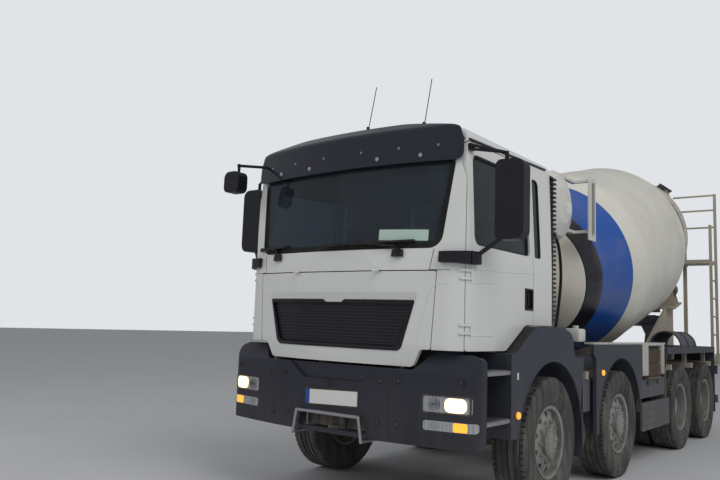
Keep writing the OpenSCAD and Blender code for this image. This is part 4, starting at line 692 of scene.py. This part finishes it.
# %% Two trees: a ring of copies and a row of copies
def new_tree(name, sockets):
    """A tree with the named inputs. Returns it with the outputs of its input node."""
    tree = bpy.data.node_groups.new(name, "GeometryNodeTree")
    tree.interface.new_socket("Geometry", in_out="INPUT", socket_type="NodeSocketGeometry")
    tree.interface.new_socket("Geometry", in_out="OUTPUT", socket_type="NodeSocketGeometry")
    for label, kind in sockets:
        tree.interface.new_socket(label, in_out="INPUT", socket_type="NodeSocket" + kind)
    return tree, add(tree, "NodeGroupInput", {}).node.outputs


def end_tree(tree, given, points, **turned):
    """Puts real copies on the points, gives them their finish and ends the tree."""
    copy = add(tree, "GeometryNodeObjectInfo", {"Object": given["Copy"]}, "Geometry")
    copies = add(tree, "GeometryNodeInstanceOnPoints", {"Points": points, "Instance": copy, **turned})
    real = add(tree, "GeometryNodeRealizeInstances", {0: copies})
    done = add(tree, "GeometryNodeSetMaterial", {"Geometry": real, "Material": given["Finish"]})
    add(tree, "NodeGroupOutput", {0: done})
    return tree


def ring_tree():
    """Copies on a circle round Z, each turned to face outward."""
    tree, given = new_tree("Ring of copies", [("Copy", "Object"), ("Count", "Int"), ("Radius", "Float"),
                                              ("Finish", "Material")])
    circle = add(tree, "GeometryNodeMeshCircle", {"Vertices": given["Count"], "Radius": given["Radius"]})
    number = add(tree, "GeometryNodeInputIndex", {})
    share = add(tree, "Math", {0: number, 1: given["Count"]}, operation="DIVIDE")
    turn = add(tree, "Math", {0: share, 1: 2 * pi}, operation="MULTIPLY")
    facing = add(tree, "FunctionNodeEulerToRotation", {0: add(tree, "CombineXYZ", {"Z": turn})})
    return end_tree(tree, given, circle, Rotation=facing)


def row_tree():
    """Copies on a straight line, a step apart."""
    tree, given = new_tree("Row of copies", [("Copy", "Object"), ("Count", "Int"), ("Start", "Vector"),
                                             ("Step", "Vector"), ("Finish", "Material")])
    line = add(tree, "GeometryNodeMeshLine", {"Count": given["Count"], "Start Location": given["Start"],
                                              "Offset": given["Step"]})
    return end_tree(tree, given, line)


RING, ROW = ring_tree(), row_tree()


# %% Run a tree on one small mesh
def repeated(tree, copy_mesh, **values):
    """Runs a tree and returns its result as a plain mesh, with the modifier gone."""
    source = new_object("copy", copy_mesh)
    holder = new_object("holder", bpy.data.meshes.new("holder"))
    modifier = holder.modifiers.new("Repeat", "NODES")
    modifier.node_group = tree
    keys = {item.name: item.identifier for item in tree.interface.items_tree if item.in_out == "INPUT"}
    modifier[keys["Copy"]] = source
    for label, value in values.items():
        modifier[keys[label]] = value
    mesh = bpy.data.meshes.new_from_object(holder.evaluated_get(bpy.context.evaluated_depsgraph_get()))
    for thing in (holder, source):
        bpy.data.objects.remove(thing)
    return mesh


def bolt_head(across, height):
    """A six-sided head with a small chamfer, standing on z = 0."""
    turns = [radians(a) for a in range(0, 360, 60)]
    return prism([(across / 2 * cos(t), across / 2 * sin(t)) for t in turns], height, across * 0.06)


ten = repeated(RING, bolt_head(0.03, 0.02), Count=10, Radius=0.16, Finish=worn_steel)
print("a ring of ten bolt heads has", len(ten.polygons), "faces")

# %% [markdown]
# ## Wheels
# A truck tyre is a moulded ring: a bead that grips the rim, a bulging sidewall with a raised rib, a square
# shoulder, and a tread of straight ribs with blocks at the shoulders. Its section is turned on a lathe, and
# the shoulder blocks are a ring of copies. The pressed steel rim is already right in the solid, so it is cut
# out of a copy of the solid by its radius, and gets its nuts as a ring of copies.

# %% Tyre and tread
TYRE_STEPS = 112
SIDEWALL = [
    (0.2872, 0.112), (0.2925, 0.1165), (0.302, 0.1205), (0.309, 0.1262), (0.3155, 0.1275), (0.325, 0.1340),
    (0.345, 0.1435), (0.372, 0.1512), (0.398, 0.1552), (0.402, 0.1566), (0.409, 0.1566), (0.413, 0.1558),
    (0.440, 0.1562), (0.462, 0.1545), (0.466, 0.1555), (0.474, 0.1550), (0.477, 0.1530), (0.498, 0.1500),
    (0.510, 0.1468), (0.516, 0.1440), (0.524, 0.1385), (0.527, 0.1240)]
TREAD_RIBS = [(0.527, 0.104), (0.5385, 0.101), (0.539, 0.062), (0.528, 0.059), (0.528, 0.046),
              (0.5392, 0.043), (0.5395, 0.009), (0.528, 0.006)]
BLOCKS, BLOCK_TURN = 68, radians(2.6)
BLOCK_SIDES = [(0.519, -0.0178), (0.5393, -0.0185), (0.5393, 0.0185), (0.519, 0.0178)]
section = SIDEWALL + TREAD_RIBS
carcass = lathe(section + [(r, -y) for r, y in reversed(section)], TYRE_STEPS)
shoulder_ring = repeated(RING, prism(BLOCK_SIDES, 0.030), Count=BLOCKS, Radius=0.0, Finish=rubber_black)
outer_blocks = set_on(shoulder_ring, (0, 0.1355, 0), LIE_DOWN)
inner_blocks = set_on(shoulder_ring, (0, -0.1055, 0), Matrix.Rotation(BLOCK_TURN, 4, "Y") @ LIE_DOWN)
tyre = joined(carcass, outer_blocks, inner_blocks)
print("one tyre has", len(tyre.polygons), "faces")

# %% Rims from the solids, with their nuts
RIM_EDGE = 0.3028
NUT_CIRCLE, CAP_CIRCLE = 0.1675, 0.098
SINGLE = {"tyres": [1.0875], "disc": 1.1955, "cap": 1.2305}
TWIN = {"tyres": [1.0875, 0.7375], "disc": 0.9195, "cap": 1.1475}


def rim_of(node, x):
    """The part of a wheel's solid that lies inside the tyre."""
    bm = bmesh.new()
    bm.from_mesh(frame["nodes"][node].data)
    bmesh.ops.remove_doubles(bm, verts=bm.verts, dist=WELD_GAP)
    outside = [f for f in bm.faces if max(hypot(v.co.x - x, v.co.z - HUB_Z) for v in f.verts) > RIM_EDGE]
    bmesh.ops.delete(bm, geom=outside, context="FACES")
    return plain_mesh(bm, "rim")


nut = joined(bolt_head(0.034, 0.020), bolt_head(0.018, 0.032))
nuts = repeated(RING, nut, Count=10, Radius=NUT_CIRCLE, Finish=rim_silver)
cap_bolts = repeated(RING, bolt_head(0.016, 0.008), Count=10, Radius=CAP_CIRCLE, Finish=rim_silver)
for number, x in enumerate(AXLE_X, 1):
    kind, label, body_label = (TWIN, "twin_wheel", "twin") if number > 2 else (SINGLE, "wheel", "hub")
    for side, turn in (("left", Matrix.Identity(4)), ("right", MIRROR_Y)):
        node, body = f"{label}_{number}_{side}", f"{body_label}_{number}_{side}"
        place = Matrix.Translation((x, 0, HUB_Z)) @ turn
        rubber = joined(*[moved(tyre, place @ Matrix.Translation((0, y, 0))) for y in kind["tyres"]])
        piece(f"tyres_{number}_{side}", rubber, body, rubber_black, [node], 30)
        hardware = joined(set_on(nuts, (0, kind["disc"], 0), FACE_LEFT),
                          set_on(cap_bolts, (0, kind["cap"], 0), FACE_LEFT))
        rim = joined(rim_of(node, x), moved(hardware, place))
        piece(f"rim_{number}_{side}", rim, body, rim_silver, (), 32)

# %% [markdown]
# ## Seals, seams and small fittings of the cab
# What makes a cab look real up close is thin: black rubber round the glass, a dark frit band baked on the
# windscreen's edge, pressed creases that catch the light, a handle in its own dish. Each is drawn in the
# front or side view, where its shape is known, and laid on the panels' surface.

# %% Windscreen: frit band, seal and blank sign
def framed(corners, radii, grow):
    """A rounded outline whose four corners are moved outward by grow."""
    mid = [sum(corner[i] for corner in corners) / 4 for i in (0, 1)]
    out = [[c + grow * copysign(1, c - m) for c, m in zip(corner, mid)] for corner in corners]
    return rounded(out, radii, 6)


def side_view(points):
    """Points of the side view, with x counted from the first axle."""
    return [(ax(u), v) for u, v in points]


def on_doors(name, mesh, material):
    """A piece on the left door, and its mirror image on the right door."""
    piece(name + "_left", mesh, "left_door", material)
    piece(name + "_right", moved(mesh, MIRROR_Y), "right_door", material)


SCREEN = [(-0.93, 2.052), (0.93, 2.052), (1.01, 2.77), (-1.01, 2.77)]
SCREEN_R = [0.11, 0.11, 0.04, 0.04]
FRIT_BAND, FRIT_R = 0.05, [0.08, 0.08, 0.03, 0.03]
glass_surface = surface_of("cab_glass", "cab_shell")
frit = sheet(framed(SCREEN, SCREEN_R, -0.004), glass_surface, "front", 0.0015,
             hole=framed(SCREEN, FRIT_R, -FRIT_BAND))
piece("windscreen_frit", frit, "cab", seal_rubber)
screen_seal = seal(framed(SCREEN, SCREEN_R, -0.006), 0.009, glass_surface, "front", 0.004)
piece("windscreen_seal", screen_seal, "cab", seal_rubber)
SIGN = [(0.40, 2.125), (0.82, 2.110), (0.82, 2.195), (0.40, 2.210)]
sign = sheet(rounded(SIGN, 0.008), glass_surface, "front", 0.002, sunk=-0.0005)
piece("windscreen_sign", sign, "cab", sign_white)

# %% Grille: thin slats across the black panel
grille_surface = surface_of("grille")
GRILLE_LOW, GRILLE_HIGH, SLATS, SLAT = 1.300, 1.600, 13, 0.0055
SLAT_HALF, SLAT_WIDENS = 0.580, 0.115
slats = []
for k in range(SLATS):
    z = GRILLE_LOW + (GRILLE_HIGH - GRILLE_LOW) * k / (SLATS - 1)
    half = SLAT_HALF + SLAT_WIDENS * k / (SLATS - 1)
    slats.append(seal([(-half, z), (half, z)], SLAT, grille_surface, "front", 0.001, False))
piece("grille_slats", joined(*slats), "flap", slate_plastic)

# %% Side windows: a rubber seal in each opening
WINDOW_Z = (2.090, 2.790)
DOOR_WINDOW = [(0.190, WINDOW_Z[0]), (1.172, WINDOW_Z[0]), (1.165, WINDOW_Z[1]), (0.190, WINDOW_Z[1])]
door_line = side_view(framed(DOOR_WINDOW, [0.04, 0.07, 0.07, 0.045], -0.007))
door_seal = seal(door_line, 0.009, surface_of("door_glass_left", "door_left"), "left", 0.006)
on_doors("window_seal", door_seal, seal_rubber)
quarter_line = side_view(framed(rectangle((-0.030, 0.100), WINDOW_Z), [0.03, 0.02, 0.02, 0.06], -0.005))
quarter_seal = seal(quarter_line, 0.008, glass_surface, "left", 0.004)
piece("quarter_window_seals", both_sides(quarter_seal), "cab", seal_rubber)

# %% Seams that split the cab's front, and the pressed creases of its sides
SEAM, SEAM_Z = 0.0028, 1.889
shell_surface = surface_of("cab_shell", "front_flap", "door_left")
door_surface = surface_of("door_left")
seams = [seal(path, SEAM, shell_surface, view, -0.001, False) for path, view in (
    ([(0.878, 2.046), (0.862, 1.950), (0.852, 1.890)], "front"),
    ([(0.852, SEAM_Z), (1.050, SEAM_Z)], "front"),
    (side_view([(1.345, SEAM_Z), (1.268, SEAM_Z)]), "left"))]
piece("cab_seams", both_sides(*seams), "cab", seal_rubber)
CREASE, CREASE_LIFT = 0.0045, -0.0015
creases = [seal(side_view(path), radius, door_surface, "left", lift, False) for path, radius, lift in (
    ([(1.150, 1.902), (0.540, 1.927), (0.142, 1.952)], 0.0035, -0.0012),
    ([(1.255, 1.797), (1.000, 1.812), (0.840, 1.819)], CREASE, CREASE_LIFT),
    ([(1.255, 1.413), (0.860, 1.413)], CREASE, CREASE_LIFT))]
on_doors("door_creases", joined(*creases), cab_white)
CHEEK = [(0.760, 1.300), (0.800, 1.520), (0.850, 1.700), (0.880, 1.765), (0.930, 1.790), (1.060, 1.795)]
cheek = seal(CHEEK, CREASE, shell_surface, "front", CREASE_LIFT, False)
piece("cheek_creases", both_sides(cheek), "cab", cab_white)

# %% Door handles: a frame round the dish, a dark dish and an upright grip
HANDLE_X, HANDLE_Z = (ax(0.150), ax(0.290)), (1.645, 1.805)
RIM, LAP = 0.012, 0.004
DOOR_Y = lay((ax(0.22), 1.62), door_surface, "left").y
(x0, x1), (z0, z1) = HANDLE_X, HANDLE_Z
wide, tall = (x0 - RIM, x1 + RIM), (z0 - RIM, z1 + RIM)
bars = [block(x, (DOOR_Y - 0.022, DOOR_Y + 0.006), z) for x, z in (
    ((x0 - RIM, x0 + LAP), tall), ((x1 - LAP, x1 + RIM), tall),
    (wide, (z0 - RIM, z0 + LAP)), (wide, (z1 - LAP, z1 + RIM)))]
dish = block(HANDLE_X, (DOOR_Y - 0.0275, DOOR_Y - 0.0235), HANDLE_Z, 0.001)
GRIP = [(-0.024, z0 + LAP), (-0.002, z0 + 0.03), (0.002, 1.725), (-0.002, z1 - 0.03), (-0.024, z1 - LAP)]
grip = tube(curved([(x1 - 0.045, DOOR_Y + out, z) for out, z in GRIP]), 0.011)
on_doors("handle", joined(dish, grip, *bars), black_plastic)

# %% Roof edge rails, aerials and the visor's screws and marker lamps
roof_surface = surface_of("cab_shell")
GUTTER = side_view([(1.250, 2.892), (0.500, 2.912), (-0.200, 2.930)])
gutter = seal(GUTTER, 0.011, roof_surface, "left", 0.002, False)
piece("roof_rails", both_sides(gutter), "cab", black_plastic)
AERIALS = [(0.11, 3.50), (0.67, 3.47)]
aerials = []
for y, top in AERIALS:
    foot = lay((ax(1.22), y), roof_surface, "top")
    aerials += [tube([foot - Vector((0, 0, 0.004)), foot + Vector((0, 0, 0.045))], 0.014, 12),
                tube([foot, foot + Vector((-0.10, 0, top - foot.z))], 0.0035, 8)]
piece("aerials", joined(*aerials), "cab", black_plastic)
visor_surface = surface_of("sun_visor")


def on_visor(mesh, row, z):
    """Copies of a small shape on the visor's left half, and on its right half."""
    return both_sides(*[set_on(mesh, lay((y, z), visor_surface, "front"), FACE_FRONT) for y in row])


visor_screws = on_visor(disc(0.011, 0.006, 0.002, 12), (0.20, 0.55, 0.88), 2.846)
visor_lamps = on_visor(disc(0.018, 0.008, 0.003, 16), (0.36, 0.74), 2.775)
piece("visor_screws", visor_screws, "cab", bright_trim)
piece("visor_marker_lamps", visor_lamps, "cab", lens_clear)

# %% Wipers: an arm with its spring cap, and the rubber blade
WIPERS = [(0.59, 0.68), (-0.69, 0.27)]
BLADE_STEPS = 6
arms = []
for y, reach in WIPERS:
    foot = lay((y, 2.030), shell_surface, "front", 0.030)
    knee = lay((y - 0.02, 2.075), glass_surface, "front", 0.035)
    mid = lay((y - 0.45 * reach, 2.100), glass_surface, "front", 0.030)
    blade = []
    for k in range(BLADE_STEPS + 1):
        across, drop = (reach + 0.12) * k / BLADE_STEPS, 0.02 * reach * k / BLADE_STEPS
        blade.append(lay((y + 0.12 - across, 2.114 - drop), glass_surface, "front", 0.016))
    cap = set_on(disc(0.030, 0.030, 0.006, 20), foot - Vector((0.03, 0, 0)), FACE_FRONT)
    arms += [tube([foot, knee, mid], 0.008), tube(blade, 0.009, 8), tube([mid, blade[3]], 0.007), cap]
piece("wiper_arms", joined(*arms), "cab", black_plastic)

# %% Mirror glass in the open backs of the housings
MIRROR_GLASS_Y, MIRROR_GLASS_Z = (1.268, 1.462), ((2.143, 2.430), (2.445, 2.712))
stand_up = Matrix(((0, 0, 1, ax(1.0125)), (1, 0, 0, 0), (0, 1, 0, 0), (0, 0, 0, 1)))
mirrors = [moved(prism(rounded(rectangle(MIRROR_GLASS_Y, z), 0.03), 0.006, 0.0015), stand_up)
           for z in MIRROR_GLASS_Z]
on_doors("mirror_glass", joined(*mirrors), mirror_silver)

# %% [markdown]
# ## Bumper, lamps and steps
# The bumper has a middle and two corner parts. It is held by screws in sunk rings, carries the number plate,
# which is blank here, and frames the lamps. A headlamp is a clear cover over a round reflector on the inner
# side and a lit one on the outer side. The lower lamp has a clear part and, outside, an amber turn signal.

# %% Screws in their rings
RING_SPOTS = [(-0.675, 1.029), (-0.513, 1.044), (0.474, 1.048), (0.640, 1.061), (1.126, 1.077),
              (-1.126, 1.077), (-0.641, 0.721), (-0.473, 0.733), (0.452, 0.741), (0.633, 0.746)]
RING_SECTION = [(0.019, -0.002), (0.027, -0.002), (0.029, 0.0055), (0.025, 0.007)]
rings, heads = [], []
for spot in RING_SPOTS:
    place = lay(spot, bumper_surface, "front", -0.004)
    rings.append(set_on(lathe(RING_SECTION, 24), place, FACE_FRONT @ LIE_DOWN))
    heads.append(set_on(bolt_head(0.024, 0.010), place, FACE_FRONT))
piece("bumper_screw_rings", joined(*rings), "chassis", slate_plastic)
piece("bumper_screws", joined(*heads), "chassis", black_plastic)

# %% The plate, and the painted shade of the slot above it
PLATE = [(-0.270, 0.818), (0.262, 0.836), (0.262, 0.948), (-0.270, 0.930)]
STRIP = [(-0.270, 0.818), (-0.226, 0.8195), (-0.226, 0.9315), (-0.270, 0.930)]
SLOT_SHADE = [(-0.040, 0.972), (0.179, 0.984), (0.193, 1.030), (-0.068, 1.019)]
holder = sheet(framed(PLATE, 0.012, 0.012), bumper_surface, "front", 0.005, 0.2)
plate = sheet(rounded(PLATE, 0.008), bumper_surface, "front", 0.008, 0.2)
strip = sheet(rounded(STRIP, 0.006), bumper_surface, "front", 0.0088, 0.2)
# Painted shade: a flat near-black sheet in the seal rubber finish stands for the dark inside of the slot.
slot = sheet(rounded(SLOT_SHADE, 0.010), bumper_surface, "front", 0.0015)
piece("plate_holder", holder, "chassis", black_plastic)
piece("number_plate", plate, "chassis", plate_white)
piece("number_plate_strip", strip, "chassis", plate_blue)
piece("bumper_slot", slot, "chassis", seal_rubber)

# %% The edge of the sunk field, and the seams between the bumper's middle and its corner parts
FIELD_EDGE = [(-0.478, 1.132), (-0.300, 1.028), (0.300, 1.028), (0.478, 1.132)]
SEAM_Y, SEAM_LOW, SEAM_HIGH = 0.557, 0.612, 1.135
moulding = surface_of("bumper")
edge = seal(FIELD_EDGE, 0.004, moulding, "front", -0.001, False)
seams = [seal([(y, SEAM_LOW), (y, SEAM_HIGH)], 0.0022, moulding, "front", -0.0008, False)
         for y in (-SEAM_Y, SEAM_Y)]
piece("bumper_field_edge", edge, "chassis", slate_plastic)
piece("bumper_seams", joined(*seams), "chassis", seal_rubber)

# %% Headlamps and the lower lamps
HEAD_Y, HEAD_Z, FOG_Z = (0.846, 1.190), (0.862, 0.974), (0.736, 0.798)
lamp_surface = surface_of("lamps")


def lamp_part(y, z, radius, thick=0.004):
    """A sheet with rounded corners on the lamps' front, and its mirror image."""
    return both_sides(sheet(rounded(rectangle(y, z), radius), lamp_surface, "front", thick, 0.05))


bezel = sheet(framed(rectangle(HEAD_Y, HEAD_Z), 0.022, 0.012), bumper_surface, "front", 0.003, 0.05,
              hole=framed(rectangle(HEAD_Y, HEAD_Z), 0.018, 0))
piece("headlamp_bezels", both_sides(bezel), "chassis", black_plastic)
lit = lamp_part((1.010, 1.170), (0.868, 0.968), 0.045, 0.006)
piece("headlamp_lit", lit, "chassis", lens_lit)
bowls = []
centre = lay((0.925, 0.918), lamp_surface, "front", 0.002)
for radius, depth in ((0.046, 0.008), (0.030, 0.012), (0.012, 0.016)):
    bowl = lathe([(radius - 0.005, 0), (radius, 0), (radius, depth), (radius - 0.003, depth)], 32)
    bowls.append(set_on(bowl, centre, FACE_FRONT @ LIE_DOWN))
piece("headlamp_reflectors", both_sides(*bowls), "chassis", bright_trim)
turn_signal = lamp_part((1.075, 1.175), FOG_Z, 0.012)
fog_reflector = lamp_part((0.900, 0.960), (0.742, 0.792), 0.024)
piece("turn_signals", turn_signal, "chassis", lens_amber_lit)
piece("fog_reflectors", fog_reflector, "chassis", bright_trim)

# %% Side markers and reflectors
SIDE_MARKERS = [(0.705, 0.817), (-1.200, 1.080)]
stub = moved(disc(0.026, 0.016, 0.005, 24), FACE_LEFT)
stubs = [moved(stub, Matrix.Translation(at(x, 1.2565, z))) for x, z in SIDE_MARKERS]
piece("side_markers", both_sides(*stubs), "chassis", lens_amber_lit)
reflector = block((ax(0.676), ax(0.700)), (1.244, 1.249), (1.085, 1.138), 0.002)
piece("side_reflectors", both_sides(reflector), "chassis", plate_white)

# %% Ribs of the treads, and their noses
RIBS, RIB_STEP, TREAD_Z, NOSE_Z = 18, 0.0205, (0.798, 1.156), (0.769, 1.127)
rib = block((-0.006, 0.006), (1.085, 1.226), (0, 0.007), 0.002)
treads = [repeated(ROW, rib, Count=RIBS, Start=tuple(at(0.815, 0, z - 0.001)), Step=(RIB_STEP, 0, 0),
                   Finish=tread_metal) for z in TREAD_Z]
noses = [block((ax(0.800), ax(1.180)), (1.2345, 1.2420), (z, z + 0.030), 0.002) for z in NOSE_Z]
piece("tread_ribs", both_sides(*treads, *noses), "chassis", tread_metal)

# %% [markdown]
# ## Wings, tank, drum and the rear
# The wings end in a rolled lip round each arch. The tank is held by two straps and has a sight tube on its
# gauge plate. The drum's plates meet in weld beads, which ring it where its cone, its cylinder and its rear
# cone meet, and the running ring is bare steel.

# %% Rolled lips of the wings
WING_ARCH, LIP_Y, LIP = 0.6785, 1.240, 0.011


def arch(x, radius, first, last, y, steps=40):
    """Points on a wing's arch, from one angle in degrees to another."""
    turns = [radians(first + (last - first) * k / steps) for k in range(steps + 1)]
    return [at(x + radius * cos(t), y, HUB_Z + radius * sin(t)) for t in turns]


lips = [tube(arch(x, WING_ARCH, -2, 182, LIP_Y), LIP, 8) for x in (0.0, -1.795)]
piece("wing_lips", both_sides(*lips), "chassis", fender_plastic)

# %% The rubber apron that closes the gap between the wing and the cab's side
APRON = [(0.770, 1.283), (0.655, 1.285), (0.600, 1.312), (0.330, 1.472), (0.285, 1.496), (0.240, 1.499),
         (-0.225, 1.499), (-0.300, 1.478)]
APRON_THICK, APRON_FROM_Y, APRON_WIDE = 0.012, 1.090, 0.112
apron = prism([at(x, 0, z).xz for x, z in APRON] + [at(x, 0, z - APRON_THICK).xz for x, z in APRON[::-1]],
              APRON_WIDE)
upright = Matrix(((1, 0, 0, 0), (0, 0, 1, APRON_FROM_Y), (0, 1, 0, 0), (0, 0, 0, 1)))
piece("wing_aprons", both_sides(moved(apron, upright)), "chassis", seal_rubber)

# %% The rear guards' upper edges
guard_edge = tube([at(-6.30, 1.2405, 1.238), at(-3.63, 1.2405, 1.238)], 0.008, 8)
piece("rear_guard_edges", both_sides(guard_edge), "chassis", fender_plastic)

# %% Tank: straps, sight tube and a blank plate
TANK_X, TANK_Z, TANK_R = -1.200, 2.775, 0.375
STRAP_IN, STRAP_OUT = TANK_R + 0.0005, TANK_R + 0.0045
strap = lathe([(STRAP_IN, -0.030), (STRAP_OUT, -0.028), (STRAP_OUT, 0.028), (STRAP_IN, 0.030)])
straps = [moved(strap, Matrix.Translation(at(TANK_X, y, TANK_Z))) for y in (0.46, -0.46)]
piece("tank_straps", joined(*straps), "chassis", worn_steel)
label = rounded(side_view(rectangle((-1.540, -1.230), (2.700, 2.820))), 0.01)
tank_plate = sheet(label, surface_of("water_tank"), "left", 0.003, 0.04)
piece("tank_plate", tank_plate, "chassis", plate_white)
SIGHT_X = -1.90
sight = [tube([at(SIGHT_X, 0.921, 2.55), at(SIGHT_X, 0.921, 3.13)], 0.011)]
sight += [tube([at(SIGHT_X, 0.905, z), at(SIGHT_X, 0.925, z)], 0.016) for z in (2.57, 3.11)]
piece("tank_sight_tube", joined(*sight), "chassis", bright_trim)

# %% Pipes between the cab and the drum, and the washer bottle
PIPE = [at(-0.93, 0.86, 1.376), at(-0.935, 0.90, 1.62), at(-0.95, 0.93, 2.0), at(-0.955, 0.90, 2.33),
        at(-1.0, 0.80, 2.50)]
pipe = tube(curved(PIPE), 0.012, 10)
second = moved(pipe, Matrix.Translation((-0.035, -0.02, 0)))
piece("tank_pipes", joined(pipe, second), "chassis", seal_rubber)
bottle = [block((ax(-0.98), ax(-0.80)), (1.02, 1.17), (1.374, 1.500), 0.02),
          moved(disc(0.028, 0.03, 0.004, 20), Matrix.Translation(at(-0.89, 1.10, 1.499)))]
piece("washer_bottle", joined(*bottle), "chassis", white_plastic)

# %% Drum: weld beads and the running ring's edge, on the drum's own axis
WELDS = [(0.115, 0.764), (1.11, 1.1895), (2.05, 1.1895), (2.86, 1.1895), (3.60, 0.9990)]
BASIS = DRUM_AXIS.orthogonal().normalized()
OTHER = DRUM_AXIS.cross(BASIS)


def drum_ring(along, radius, thick, sides=8, steps=128):
    """A closed bead round the drum, at a place along its axis."""
    bm = bmesh.new()
    rings = []
    for t in full_turn(steps):
        out = cos(t) * BASIS + sin(t) * OTHER
        centre = DRUM_AT + along * DRUM_AXIS + radius * out
        rings.append([bm.verts.new(centre + thick * (cos(a) * out + sin(a) * DRUM_AXIS))
                      for a in full_turn(sides)])
    skin(bm, rings)
    return mesh_of(bm, "ring")


weld_beads = [drum_ring(along, radius, 0.005) for along, radius in WELDS]
piece("drum_weld_beads", joined(*weld_beads), "mixing_drum", drum_paint)
piece("running_ring_edge", drum_ring(4.03, 0.9640, 0.0035, 6), "mixing_drum", worn_steel)

# %% Tail lamps: red, amber and white fields
LAMP_X, LAMP_Z = (ax(-7.011), ax(-7.003)), (0.886, 0.994)
FIELDS = {"red": (lens_red, (0.730, 0.860)), "amber": (lens_amber, (0.868, 0.990)),
          "white": (lens_clear, (0.998, 1.120))}
for label, (finish, y) in FIELDS.items():
    field = both_sides(block(LAMP_X, y, LAMP_Z, 0.003))
    piece(f"tail_lamp_{label}", field, "chassis", finish)

# %% Latches and lids of the boxes, and ribs on the side guard
latches = []
for x in (-2.90, -3.30):
    latches += [block((ax(x - 0.03), ax(x + 0.03)), (1.1995, 1.209), (0.905, 0.935), 0.003),
                block((ax(x - 0.015), ax(x + 0.015)), (1.1995, 1.216), (0.880, 0.915), 0.003)]
lid = block((ax(-3.595), ax(-2.595)), (1.1995, 1.206), (0.925, 0.948), 0.003)
piece("box_latches", both_sides(*latches, lid), "chassis", grey_paint)
ribs = [block((ax(-3.66), ax(-2.61)), (1.2245, 1.2330), (z, z + 0.035), 0.006) for z in (0.43, 0.52, 0.61)]
piece("side_guard_ribs", both_sides(*ribs), "chassis", grey_paint)

# %% Close the notebook
print("triangles added:", sum(added), "in", len(added), "pieces")
